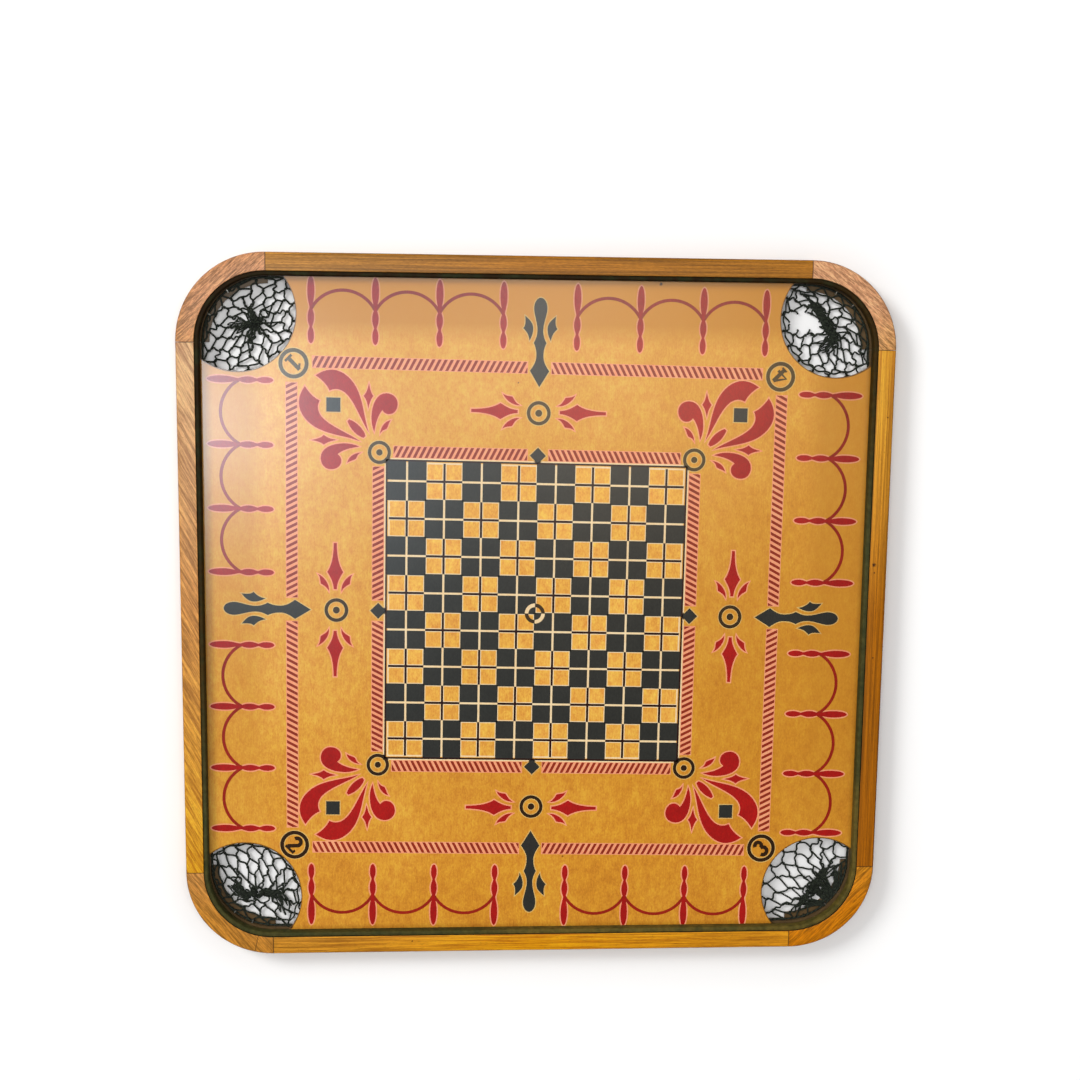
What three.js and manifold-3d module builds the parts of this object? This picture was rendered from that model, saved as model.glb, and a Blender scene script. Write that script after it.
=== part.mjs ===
// Carrom board: a plywood playing panel held in a hardwood frame, with a net pocket under each corner.
// Millimetres, +Z up. The board lies flat on its frame, and the origin is below its middle.

import * as THREE from "three";
import { mergeVertices } from "three/addons/utils/BufferGeometryUtils.js";
import Module from "manifold-3d";

const wasm = await Module();
wasm.setup();

// Driving sizes of the frame
const boardSide = 724; // outer side, 28.5 in
const frameHeight = 25.4;
const cornerRadius = 88.9; // outer radius of a corner block
const rimWidth = 18.4; // flat face of a rail, seen from above
const outerEdgeRound = 2.4;
const innerEdgeRound = 0.9;
const footEdgeRound = 1.5;
const fitGap = 0.3; // between two pieces that seat on each other

// Driving sizes of the loose tongues that join rails and corner blocks
const tongueLength = 24;
const tongueWidth = 9;
const tongueThickness = 5;

// Driving sizes of the panel and the green liner above it
const panelThickness = 4.8;
const linerThickness = 4.3;
const linerDrop = 1; // top of the liner below the top of the rails
const linerRound = 1.7;

// Driving sizes of a pocket and its net
const pocketRadius = 58.5; // round cut-out in the panel
const pocketInset = 59; // centre of the cut-out in from the outer face of the frame
const netCord = 1.4; // thickness of the netting
const rimCord = 2; // thickness of the cord that the net hangs on
const netOverlap = 4; // the rim cord lies this far behind the edge of the cut-out
const rimDip = 2.8; // the rim cord sits lower where it runs along the wall
const dipRun = 14; // and rises over this distance
const netFloor = 0.9; // underside of the slack net above the floor
const gatherRadius = 7; // where the meshes are drawn together
const fallRun = 20; // the slack net falls from the gather to the floor over this distance
const neckRadius = 4.2; // bunched end of the net, inside its tie
const tieCord = 1;
const tiePitch = 1.5;
const tieTurns = 2;

// Driving sizes of a wire staple
const stapleWire = 1;
const stapleBite = 3; // depth of its legs in the wood

// Counts
const cornerSteps = 18;
const cutoutSteps = 20;
const roundSteps = 2;
const meshesRound = 18; // net meshes round a pocket
const cordSides = 6;
const tieSteps = 24;
const neckSides = 12;

// Rows of knots from the gather to the rim, as shares of the way
const knotShares = [0, 0.14, 0.32, 0.54, 0.77, 1];
// The slack net climbs to the rim by this power of that way
const climbPower = 3;
// Staples sit in these gaps between the outer knots, counted round from +X
const stapleNotches = [1, 3, 7, 9, 11, 13];

// The four pockets by quarter turn, with the gather's place as shares of the pocket's radius
const corners = [
  { name: "back_right", gatherShares: [0.1, 0.13] },
  { name: "back_left", gatherShares: [0.04, -0.07] },
  { name: "front_left", gatherShares: [0.01, 0.2] },
  { name: "front_right", gatherShares: [0.22, 0.18] },
];
const sides = ["right", "back", "left", "front"];

// Sizes that follow
const quarterTurn = Math.PI / 2;
const fullTurn = Math.PI * 2;
const halfSide = boardSide / 2;
const cornerCentre = halfSide - cornerRadius;
const sectionWidth = rimWidth + fitGap + linerThickness;
const innerHalf = halfSide - sectionWidth;
const wallRadius = innerHalf - cornerCentre;
const panelHalf = halfSide - rimWidth - fitGap;
const panelBottom = (frameHeight - panelThickness) / 2;
const panelTop = panelBottom + panelThickness;
const ledgeTop = panelBottom - fitGap;
const linerTop = frameHeight - linerDrop;
const linerReach = panelHalf;
const tongueReach = halfSide - rimWidth / 2;
const pocketPlace = halfSide - pocketInset;
const pocketMiddle = new THREE.Vector2(pocketPlace, pocketPlace);
const cutoutStart = pocketPlace - Math.sqrt(pocketRadius ** 2 - (panelHalf - pocketPlace) ** 2);
const rimCircle = pocketRadius + netOverlap;
const rimWallGap = fitGap + rimCord / 2;
const rimTopHeight = panelBottom - fitGap - rimCord / 2;
const tipInset = rimCord / 2 + fitGap + netCord / 2;
const tipRow = knotShares.length - 1;
const meshAngle = fullTurn / meshesRound;
const tieHeight = tieTurns * tiePitch + tieCord;
const neckHeight = tieHeight + netCord;
const gatherHeight = netFloor + neckHeight + netCord / 2;
// Middle of the opening between the round cut-out and the corner's wall, along the diagonal
const cutoutDiagonal = pocketPlace * Math.SQRT2 - pocketRadius;
const wallDiagonal = cornerCentre * Math.SQRT2 + wallRadius;
const openingPlace = (cutoutDiagonal + wallDiagonal) / 2 / Math.SQRT2;

const maple = new THREE.MeshStandardMaterial({ color: 0xc08a48, roughness: 0.42, metalness: 0 });
const cornerWood = new THREE.MeshStandardMaterial({ color: 0xc18257, roughness: 0.42, metalness: 0 });
const tongueWood = new THREE.MeshStandardMaterial({ color: 0xd0aa72, roughness: 0.7, metalness: 0 });
const plywood = new THREE.MeshStandardMaterial({ color: 0xd29c4e, roughness: 0.35, metalness: 0 });
const greenPaint = new THREE.MeshStandardMaterial({ color: 0x36422c, roughness: 0.4, metalness: 0 });
const cotton = new THREE.MeshStandardMaterial({ color: 0x20261f, roughness: 0.9, metalness: 0 });
const steelWire = new THREE.MeshStandardMaterial({ color: 0x9a9ca0, roughness: 0.35, metalness: 1 });

// Solids from three's geometries, for joins and cuts
function toSolid(geometry) {
  const bare = new THREE.BufferGeometry();
  bare.setAttribute("position", geometry.getAttribute("position"));
  if (geometry.index) bare.setIndex(geometry.index);
  const merged = mergeVertices(bare);
  return new wasm.Manifold(
    new wasm.Mesh({
      numProp: 3,
      vertProperties: new Float32Array(merged.getAttribute("position").array),
      triVerts: new Uint32Array(merged.index.array),
    }),
  );
}

function toGeometry(solid) {
  const mesh = solid.getMesh();
  const geometry = new THREE.BufferGeometry();
  geometry.setAttribute("position", new THREE.BufferAttribute(mesh.vertProperties, 3));
  geometry.setIndex(new THREE.BufferAttribute(mesh.triVerts, 1));
  geometry.computeVertexNormals();
  return geometry;
}

function cutAway(geometry, cutters) {
  return toGeometry(cutters.reduce((solid, cutter) => solid.subtract(toSolid(cutter)), toSolid(geometry)));
}

function boxAt(width, depth, height, x, y, z) {
  return new THREE.BoxGeometry(width, depth, height).translate(x, y, z);
}

function named(name, geometry, material) {
  const mesh = new THREE.Mesh(geometry, material);
  mesh.name = name;
  return mesh;
}

// A profile swept along the frame: x is measured outwards and y upwards.
// Stations run clockwise from above, each with its place and its outward direction.
class FrameRoute extends THREE.Curve {
  constructor(stations) {
    super();
    this.stations = stations;
  }

  getSpacedPoints() {
    return this.stations.map(({ place }) => new THREE.Vector3(place.x, place.y, 0));
  }

  computeFrenetFrames() {
    const up = new THREE.Vector3(0, 0, 1);
    const normals = this.stations.map(({ outward }) => new THREE.Vector3(outward.x, outward.y, 0));
    const tangents = normals.map((normal) => normal.clone().cross(up));
    return { tangents, normals, binormals: normals.map(() => up) };
  }
}

function sweep(profile, stations) {
  const extrudePath = new FrameRoute(stations);
  return new THREE.ExtrudeGeometry(profile, {
    steps: stations.length - 1,
    curveSegments: roundSteps,
    extrudePath,
  });
}

function cornerStations(reach) {
  return Array.from({ length: cornerSteps + 1 }, (_, step) => {
    const angle = quarterTurn * (1 - step / cornerSteps);
    const outward = new THREE.Vector2(Math.cos(angle), Math.sin(angle));
    const place = outward.clone().multiplyScalar(reach - cornerCentre);
    return { outward, place: place.addScalar(cornerCentre) };
  });
}

function rightSideStation(reach, y) {
  return { outward: new THREE.Vector2(1, 0), place: new THREE.Vector2(reach, y) };
}

function backSideStation(x, reach) {
  return { outward: new THREE.Vector2(0, 1), place: new THREE.Vector2(x, reach) };
}

// Section of rails and corner blocks: a rebate takes the panel on a ledge, and the liner above it
function frameProfile() {
  const shape = new THREE.Shape();
  shape.moveTo(0, footEdgeRound);
  shape.absarc(-outerEdgeRound, frameHeight - outerEdgeRound, outerEdgeRound, 0, quarterTurn);
  shape.absarc(
    innerEdgeRound - rimWidth,
    frameHeight - innerEdgeRound,
    innerEdgeRound,
    quarterTurn,
    Math.PI,
  );
  shape.lineTo(-rimWidth, ledgeTop);
  shape.lineTo(-sectionWidth, ledgeTop);
  shape.absarc(
    innerEdgeRound - sectionWidth,
    innerEdgeRound,
    innerEdgeRound,
    Math.PI,
    Math.PI + quarterTurn,
  );
  shape.absarc(-footEdgeRound, footEdgeRound, footEdgeRound, -quarterTurn, 0);
  return shape;
}

function linerProfile() {
  const shape = new THREE.Shape();
  shape.moveTo(-linerThickness, panelTop + fitGap);
  shape.lineTo(0, panelTop + fitGap);
  shape.absarc(-linerRound, linerTop - linerRound, linerRound, 0, quarterTurn);
  shape.absarc(
    linerRound - linerThickness,
    linerTop - linerRound,
    linerRound,
    quarterTurn,
    Math.PI,
  );
  return shape;
}

// Loose tongue and its mortise, across the joint at one end of the right rail
function tongue(clearance, y) {
  return boxAt(
    tongueWidth + clearance * 2,
    tongueLength + clearance * 2,
    tongueThickness + clearance * 2,
    tongueReach,
    y,
    frameHeight / 2,
  );
}

function makeRail() {
  const half = cornerCentre - fitGap;
  const stations = [rightSideStation(halfSide, half), rightSideStation(halfSide, -half)];
  const mortises = [tongue(fitGap, cornerCentre), tongue(fitGap, -cornerCentre)];
  return cutAway(sweep(frameProfile(), stations), mortises);
}

function makeCornerBlock(stapleSlots) {
  const mortise = tongue(fitGap, cornerCentre);
  const backMortise = tongue(fitGap, -cornerCentre).rotateZ(quarterTurn);
  return cutAway(sweep(frameProfile(), cornerStations(halfSide)), [
    mortise,
    backMortise,
    ...stapleSlots,
  ]);
}

// One liner strip, bent round a corner and butted to the next in the middle of two sides
function makeLiner() {
  const stations = [
    backSideStation(fitGap / 2, linerReach),
    ...cornerStations(linerReach),
    rightSideStation(linerReach, fitGap / 2),
  ];
  return sweep(linerProfile(), stations);
}

function makePanel(stapleSlots) {
  const shape = new THREE.Shape();
  const from = Math.atan2(cutoutStart - pocketPlace, panelHalf - pocketPlace);
  const to = Math.atan2(panelHalf - pocketPlace, cutoutStart - pocketPlace) - fullTurn;
  for (let turn = 0; turn < corners.length; turn += 1) {
    const angle = turn * quarterTurn;
    const centre = pocketMiddle.clone().rotateAround(new THREE.Vector2(), angle);
    shape.absarc(centre.x, centre.y, pocketRadius, from + angle, to + angle, true);
  }
  const geometry = new THREE.ExtrudeGeometry(shape, {
    depth: panelThickness,
    curveSegments: cutoutSteps,
    bevelEnabled: false,
  });
  return cutAway(geometry.translate(0, 0, panelBottom), stapleSlots);
}

// How far a ray runs from a point inside a circle to its edge
function rayToCircle(start, along, centre, radius) {
  const offset = start.clone().sub(centre);
  const middle = -offset.dot(along);
  return middle + Math.sqrt(middle ** 2 - offset.lengthSq() + radius ** 2);
}

// How far a ray runs from a point in a pocket to the frame's inner wall, less an inset
function rayToWall(start, along, inset) {
  const toSide = ["x", "y"].map((axis) =>
    along[axis] > 0 ? (innerHalf - inset - start[axis]) / along[axis] : Infinity,
  );
  const straight = Math.min(...toSide);
  if (!Number.isFinite(straight)) return straight;
  const hit = along.clone().multiplyScalar(straight).add(start);
  if (Math.min(hit.x, hit.y) < cornerCentre) return straight;
  const centre = new THREE.Vector2(cornerCentre, cornerCentre);
  return rayToCircle(start, along, centre, wallRadius - inset);
}

function rimReach(gather, angle, inset) {
  const along = new THREE.Vector2(Math.cos(angle), Math.sin(angle));
  const toCutout = rayToCircle(gather, along, pocketMiddle, rimCircle - inset);
  return Math.min(toCutout, rayToWall(gather, along, rimWallGap + inset));
}

function pointAt(gather, angle, reach) {
  return new THREE.Vector2(Math.cos(angle), Math.sin(angle)).multiplyScalar(reach).add(gather);
}

// Distance from the frame's inner wall, for a point in a pocket
function wallDistance(point) {
  const offset = point.clone().subScalar(cornerCentre);
  if (Math.min(offset.x, offset.y) > 0) return wallRadius - offset.length();
  return wallRadius - Math.max(offset.x, offset.y);
}

// The rim cord hangs under the panel, and dips where it runs along the wall
function rimHeight(point) {
  const rise = THREE.MathUtils.smoothstep(wallDistance(point) - rimWallGap, 0, dipRun);
  return rimTopHeight - rimDip * (1 - rise);
}

// Height of the slack net's middle over a point of its plan
function netHeight(gather, point) {
  const offset = point.clone().sub(gather);
  const angle = offset.angle();
  const reach = rimReach(gather, angle, tipInset);
  const flat = gatherRadius + netCord;
  const out = Math.max(offset.length() - flat, 0);
  const share = Math.min(out / (reach - flat), 1);
  const low = netFloor + netCord / 2;
  const rim = rimHeight(pointAt(gather, angle, reach));
  const sunk = THREE.MathUtils.smoothstep(out, 0, Math.min(fallRun, reach - flat));
  const fall = (gatherHeight - low) * (1 - sunk);
  return low + fall + (rim - low) * share ** climbPower;
}

// A cell's corners drawn in by half a cord, or nothing where the cords lie together
function insetCell(cell, inset) {
  const edges = cell.map((corner, index) => {
    const along = cell[(index + 1) % cell.length].clone().sub(corner).normalize();
    const start = new THREE.Vector2(-along.y, along.x).multiplyScalar(inset).add(corner);
    return { start, along };
  });
  const inner = edges.map((edge, index) => {
    const last = edges[(index + edges.length - 1) % edges.length];
    const gap = edge.start.clone().sub(last.start);
    const run = gap.cross(edge.along) / last.along.cross(edge.along);
    return last.along.clone().multiplyScalar(run).add(last.start);
  });
  const open = inner.every((corner, index) => {
    const next = inner[(index + 1) % inner.length];
    return next.clone().sub(corner).dot(edges[index].along) > 0;
  });
  return open ? inner : null;
}

// Knots of one row stand half a mesh round from those of the next
function knotAngle(row, column) {
  return (column + (row % 2) / 2) * meshAngle;
}

function makeNet(gather) {
  const knot = (row, column) => {
    const angle = knotAngle(row, column);
    const reach = rimReach(gather, angle, tipInset);
    return pointAt(gather, angle, gatherRadius + (reach - gatherRadius) * knotShares[row]);
  };
  const outline = [];
  const cells = [];
  for (let column = 0; column < meshesRound; column += 1) {
    const tip = knot(tipRow, column);
    const across = tip.clone().sub(gather).rotateAround(new THREE.Vector2(), quarterTurn).normalize();
    outline.push(
      tip.clone().addScaledVector(across, -netCord / 2),
      tip.clone().addScaledVector(across, netCord / 2),
    );
    const crotch = knot(tipRow - 1, column + (tipRow % 2));
    const outwards = crotch.clone().sub(gather).normalize();
    outline.push(crotch.addScaledVector(outwards, netCord / 2));
    for (let row = 1; row < tipRow; row += 1) {
      const left = row % 2 ? column - 1 : column;
      cells.push([knot(row - 1, column), knot(row, left), knot(row + 1, column), knot(row, left + 1)]);
    }
  }
  const shape = new THREE.Shape(outline);
  for (const cell of cells) {
    if (THREE.ShapeUtils.area(cell) < 0) cell.reverse();
    const opening = insetCell(cell, netCord / 2);
    if (opening) shape.holes.push(new THREE.Path(opening));
  }
  const sheet = new THREE.ExtrudeGeometry(shape, { depth: netCord, bevelEnabled: false });
  const place = sheet.getAttribute("position");
  for (let index = 0; index < place.count; index += 1) {
    const point = new THREE.Vector2(place.getX(index), place.getY(index));
    place.setZ(index, place.getZ(index) - netCord / 2 + netHeight(gather, point));
  }
  const neckLength = gatherHeight - netFloor;
  const neck = new THREE.CylinderGeometry(neckRadius, neckRadius, neckLength, neckSides);
  neck.rotateX(quarterTurn).translate(gather.x, gather.y, netFloor + neckLength / 2);
  return toGeometry(toSolid(sheet).add(toSolid(neck)));
}

// A round cord closed on itself through its points
function closedCord(points, radius) {
  const up = new THREE.Vector3(0, 0, 1);
  const vertices = [];
  const faces = [];
  points.forEach((point, index) => {
    const next = points[(index + 1) % points.length];
    const last = points[(index + points.length - 1) % points.length];
    const outward = next.clone().sub(last).cross(up).normalize();
    for (let side = 0; side < cordSides; side += 1) {
      const angle = (side / cordSides) * fullTurn;
      const corner = point.clone().addScaledVector(outward, Math.cos(angle) * radius);
      vertices.push(...corner.addScaledVector(up, Math.sin(angle) * radius).toArray());
      const here = index * cordSides;
      const there = ((index + 1) % points.length) * cordSides;
      const across = (side + 1) % cordSides;
      faces.push(here + side, there + across, here + across);
      faces.push(here + side, there + side, there + across);
    }
  });
  const geometry = new THREE.BufferGeometry();
  geometry.setAttribute("position", new THREE.Float32BufferAttribute(vertices, 3));
  geometry.setIndex(faces);
  geometry.computeVertexNormals();
  return geometry;
}

function rimCordPoint(gather, angle) {
  const point = pointAt(gather, angle, rimReach(gather, angle, 0));
  return new THREE.Vector3(point.x, point.y, rimHeight(point));
}

function makeRimCord(gather) {
  const count = meshesRound * 2;
  const points = Array.from({ length: count }, (_, index) =>
    rimCordPoint(gather, (index / count) * fullTurn),
  );
  return closedCord(points, rimCord / 2);
}

// The tie is wound round the neck of the net in an open helix
class Winding extends THREE.Curve {
  constructor(gather) {
    super();
    this.gather = gather;
  }

  getPoint(share) {
    const angle = share * tieTurns * fullTurn;
    const radius = neckRadius + fitGap + tieCord / 2;
    const start = netFloor + tieCord / 2;
    return new THREE.Vector3(
      this.gather.x + Math.cos(angle) * radius,
      this.gather.y + Math.sin(angle) * radius,
      start + share * tieTurns * tiePitch,
    );
  }
}

function makeTie(gather) {
  const section = new THREE.Shape(
    Array.from({ length: cordSides }, (_, side) => {
      const angle = (side / cordSides) * fullTurn;
      return new THREE.Vector2(Math.cos(angle), Math.sin(angle)).multiplyScalar(tieCord / 2);
    }),
  );
  return new THREE.ExtrudeGeometry(section, { steps: tieSteps, extrudePath: new Winding(gather) });
}

// Least gap between neighbouring turns of the tie, measured on its points
function leastTieGap() {
  const points = new Winding(new THREE.Vector2()).getSpacedPoints(tieSteps);
  const turn = tieSteps / tieTurns;
  const gaps = points.slice(turn).map((point, index) => point.distanceTo(points[index]) - tieCord);
  return Math.min(...gaps);
}

// A staple straddles the rim cord: x runs across the cord and y into the wood
function staplePlace(gather, notch) {
  const angle = knotAngle(tipRow, notch) + meshAngle / 2;
  const centre = rimCordPoint(gather, angle);
  const nudge = meshAngle / meshesRound;
  const along = rimCordPoint(gather, angle + nudge).sub(rimCordPoint(gather, angle - nudge));
  along.setZ(0).normalize();
  const up = new THREE.Vector3(0, 0, 1);
  const outward = along.clone().cross(up);
  const atWall = wallDistance(new THREE.Vector2(centre.x, centre.y)) < rimWallGap + fitGap;
  const inwards = atWall ? outward : up;
  const across = atWall ? up : outward.clone().negate();
  const frame = new THREE.Matrix4().makeBasis(across, inwards, across.clone().cross(inwards));
  return { atWall, matrix: frame.setPosition(centre) };
}

const stapleInside = rimCord / 2 + fitGap;
const stapleOutside = stapleInside + stapleWire;

function makeStaple(place) {
  const top = rimCord / 2 + fitGap + stapleBite;
  const shape = new THREE.Shape();
  shape.moveTo(-stapleOutside, -stapleOutside);
  shape.lineTo(stapleOutside, -stapleOutside);
  shape.lineTo(stapleOutside, top);
  shape.lineTo(stapleInside, top);
  shape.lineTo(stapleInside, -stapleInside);
  shape.lineTo(-stapleInside, -stapleInside);
  shape.lineTo(-stapleInside, top);
  shape.lineTo(-stapleOutside, top);
  const geometry = new THREE.ExtrudeGeometry(shape, { depth: stapleWire, bevelEnabled: false });
  return geometry.translate(0, 0, -stapleWire / 2).applyMatrix4(place.matrix);
}

function stapleSlots(place) {
  const width = stapleWire + fitGap * 2;
  const depth = stapleBite + fitGap * 2;
  const leg = stapleInside + stapleWire / 2;
  const middle = rimCord / 2 + fitGap + depth / 2 - fitGap;
  return [-leg, leg].map((x) => boxAt(width, depth, width, x, middle, 0).applyMatrix4(place.matrix));
}

// Assembly
const board = new THREE.Group();
const panelSlots = [];

corners.forEach(({ name, gatherShares }, turn) => {
  const quarter = new THREE.Group();
  quarter.rotation.z = turn * quarterTurn;
  board.add(quarter);

  const gather = new THREE.Vector2(...gatherShares).multiplyScalar(pocketRadius).addScalar(openingPlace);
  const places = stapleNotches.map((notch) => staplePlace(gather, notch));
  const wallSlots = places.filter(({ atWall }) => atWall).flatMap(stapleSlots);
  const roofSlots = places.filter(({ atWall }) => !atWall).flatMap(stapleSlots);
  panelSlots.push(...roofSlots.map((slot) => slot.rotateZ(turn * quarterTurn)));

  quarter.add(
    named("rail_" + sides[turn], makeRail(), maple),
    named("corner_" + name, makeCornerBlock(wallSlots), cornerWood),
    named("tongue_" + name + "_1", tongue(0, cornerCentre - fitGap / 2), tongueWood),
    named("tongue_" + name + "_2", tongue(0, fitGap / 2 - cornerCentre).rotateZ(quarterTurn), tongueWood),
    named("liner_" + name, makeLiner(), greenPaint),
    named("net_" + name, makeNet(gather), cotton),
    named("rim_cord_" + name, makeRimCord(gather), cotton),
    named("net_tie_" + name, makeTie(gather), cotton),
  );
  places.forEach((place, index) => {
    quarter.add(named("staple_" + name + "_" + (index + 1), makeStaple(place), steelWire));
  });
});

board.add(named("playing_panel", makePanel(panelSlots), plywood));

console.log("least gap between the turns of a net tie: " + leastTieGap().toFixed(2) + " mm");

export default board;
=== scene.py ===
import math

import bmesh
import bpy
import numpy as np
from mathutils import Euler, Matrix, Vector
from mathutils.geometry import interpolate_bezier


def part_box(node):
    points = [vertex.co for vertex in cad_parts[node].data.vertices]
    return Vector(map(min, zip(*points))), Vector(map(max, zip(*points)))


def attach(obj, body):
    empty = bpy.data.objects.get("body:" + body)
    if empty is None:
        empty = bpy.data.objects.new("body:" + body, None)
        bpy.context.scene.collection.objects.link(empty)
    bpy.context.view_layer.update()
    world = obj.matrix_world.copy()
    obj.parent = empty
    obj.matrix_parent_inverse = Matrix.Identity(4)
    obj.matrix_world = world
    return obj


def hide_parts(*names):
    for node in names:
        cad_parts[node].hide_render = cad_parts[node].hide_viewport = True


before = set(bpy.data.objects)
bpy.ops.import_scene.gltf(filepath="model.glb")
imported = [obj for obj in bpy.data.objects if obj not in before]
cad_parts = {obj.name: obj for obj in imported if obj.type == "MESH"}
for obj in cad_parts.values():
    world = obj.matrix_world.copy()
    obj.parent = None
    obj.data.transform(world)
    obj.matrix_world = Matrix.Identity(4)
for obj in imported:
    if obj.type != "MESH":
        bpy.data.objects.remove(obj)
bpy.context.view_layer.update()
scene = bpy.context.scene
mm = 0.001
fullTurn = 2 * math.pi

# Sizes that the frame gives, in millimetres
railBox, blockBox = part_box("rail_right"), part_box("corner_back_right")
panelBox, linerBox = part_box("playing_panel"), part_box("liner_back_right")
boardHalf, wallHalf = railBox[1].x / mm, railBox[0].x / mm
railReach, boardTop = railBox[1].y / mm, railBox[1].z / mm
arcCentre = blockBox[0].x / mm  # middle of a corner block's arcs
panelUnder, panelTop = panelBox[0].z / mm, panelBox[1].z / mm
linerOut, linerFoot, linerTop = (value / mm for value in (linerBox[1].x, linerBox[0].z, linerBox[1].z))
seatGap = linerFoot - panelTop
pocketPlace, pocketRadius = boardHalf - 59, 58.5  # a round cut-out's middle on both axes, and its radius

corners = {"back_right": (1, 1), "back_left": (-1, 1), "front_left": (-1, -1), "front_right": (1, -1)}
sides = ["right", "back", "left", "front"]  # a quarter turn apart, as the corners are

# Camera: place, turn and lens follow from the perspective of the printed field
cameraView = {"place": (-0.0937, 0.2870, 1.5366), "turn": (-7.935, -3.499, 0.707), "lens": 50, "film": 36}


def placeCamera():
    lens = bpy.data.cameras.new("photoCamera")
    lens.lens, lens.sensor_width = cameraView["lens"], cameraView["film"]
    camera = bpy.data.objects.new("photoCamera", lens)
    camera.location = cameraView["place"]
    camera.rotation_euler = Euler([math.radians(angle) for angle in cameraView["turn"]])
    scene.collection.objects.link(camera)
    scene.camera = camera


placeCamera()
print("camera placed")


# Materials
def toLinear(hexColour):
    shares = [int(hexColour[start : start + 2], 16) / 255 for start in (1, 3, 5)]
    return [s / 12.92 if s <= 0.04045 else ((s + 0.055) / 1.055) ** 2.4 for s in shares] + [1]


# An input is a number, a hex colour, a socket, or a node whose first output is meant. Inputs go by name, or
# in their order: MapRange has its value, the range it comes from, and the range it goes to where not 0 to 1
def addNode(tree, kind, inputs=(), stops=(), **settings):
    node = tree.nodes.new("ShaderNode" + kind)
    for name, value in settings.items():
        setattr(node, name, value)
    for name, value in inputs.items() if isinstance(inputs, dict) else enumerate(inputs):
        if isinstance(value, bpy.types.Node):
            value = value.outputs[0]
        if isinstance(value, bpy.types.NodeSocket):
            tree.links.new(value, node.inputs[name])
        else:
            node.inputs[name].default_value = toLinear(value) if isinstance(value, str) else value
    for index, (place, shade) in enumerate(stops):
        elements = node.color_ramp.elements
        element = elements[index] if index < 2 else elements.new(place)
        element.position = place
        element.color = toLinear(shade) if isinstance(shade, str) else [shade] * 3 + [1]
    return node


def newMaterial(name):
    material = bpy.data.materials.new(name)
    material.use_nodes = True
    material.node_tree.nodes.clear()
    return material, material.node_tree


# The shader with its settings, and with fine relief of a depth in millimetres where a height is given
def addSurface(tree, colour, settings, height=None, depth=0.0):
    inputs = {**settings, "Base Color": colour}
    if height:
        inputs["Normal"] = addNode(tree, "Bump", {"Height": height, "Distance": depth * mm, "Strength": 1.0})
    addNode(tree, "OutputMaterial", {"Surface": addNode(tree, "BsdfPrincipled", inputs)})


# Where a point lies on the board, in millimetres
def boardPlace(tree):
    place = addNode(tree, "TexCoord").outputs["Object"]
    return addNode(tree, "VectorMath", [place, (1 / mm, 1 / mm, 1 / mm)], operation="MULTIPLY")


def boardAxes(tree):
    return addNode(tree, "SeparateXYZ", [boardPlace(tree)]).outputs


# The same place in the right back quarter
def quarterPlace(tree):
    return addNode(tree, "VectorMath", [boardPlace(tree)], operation="ABSOLUTE")


# Distance from the board's middle, measured square to the frame and round its corners, whatever the height
def fromMiddle(tree):
    past = [quarterPlace(tree), (arcCentre, arcCentre, boardHalf)]
    past = addNode(tree, "VectorMath", past, operation="SUBTRACT")
    corner = addNode(tree, "VectorMath", [past, (0, 0, 0)], operation="MAXIMUM")
    beyond = addNode(tree, "VectorMath", [corner], operation="LENGTH").outputs["Value"]
    return addNode(tree, "Math", [beyond, arcCentre], operation="ADD")


# One on faces that lie flat, and less on rounded edges and walls
def flatness(tree):
    normal = addNode(tree, "SeparateXYZ", [addNode(tree, "NewGeometry").outputs["Normal"]])
    return addNode(tree, "Math", [normal.outputs["Z"]], operation="ABSOLUTE")


# Natural unevenness whose cells have a given size in millimetres, along a turned grain
def unevenness(tree, cell, detail=3, roughness=0.5, turn=0, seat=(0, 0, 0), bent=0.0):
    sizes = cell if isinstance(cell, tuple) else [cell] * 3
    along = {"Vector": boardPlace(tree), "Location": seat, "Rotation": (0, 0, -math.radians(turn))}
    scaled = {"Vector": addNode(tree, "Mapping", along), "Scale": [1 / size for size in sizes]}
    pattern = {"Vector": addNode(tree, "Mapping", scaled), "Scale": 1.0, "Detail": detail}
    return addNode(tree, "TexNoise", {**pattern, "Roughness": roughness, "Distortion": bent})


# Lightens and darkens a colour by the unevenness, which mostly stays within 0.2 of its middle
def shaded(tree, colour, pattern, amount, contrast=1.0):
    reach = 0.2 / contrast
    levels = [(0.5 - reach, 0.5 - amount), (0.5 + reach, 0.5 + amount)]
    levels = addNode(tree, "ValToRGB", [pattern], levels)
    return addNode(tree, "MixRGB", [1.0, colour, levels], blend_type="OVERLAY")


# The colour with others over it, each given as its share and itself
def layered(tree, colour, *layers):
    for share, cover in layers:
        colour = addNode(tree, "MixRGB", [share, colour, cover])
    return colour


# Small blots with ragged edges, at given places as (x, y, radius)
def blots(tree, places, ragged=1.5):
    flat = addNode(tree, "VectorMath", [boardPlace(tree), (1, 1, 0)], operation="MULTIPLY")
    noise = unevenness(tree, ragged)
    stray = addNode(tree, "Math", [noise, 2 * ragged, -ragged], operation="MULTIPLY_ADD")
    total = 0.0
    for x, y, radius in places:
        away = addNode(tree, "VectorMath", [flat, (x, y, 0)], operation="DISTANCE").outputs["Value"]
        edge = addNode(tree, "Math", [away, stray], operation="ADD")
        spot = addNode(tree, "MapRange", [edge, radius, radius * 0.4])
        total = addNode(tree, "Math", [total, spot], operation="MAXIMUM")
    return total


# Amber varnish over the panel, its print and the frame: glossy once, now soft from wear
varnish = {"Roughness": 0.24, "Specular IOR Level": 0.18}

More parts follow.
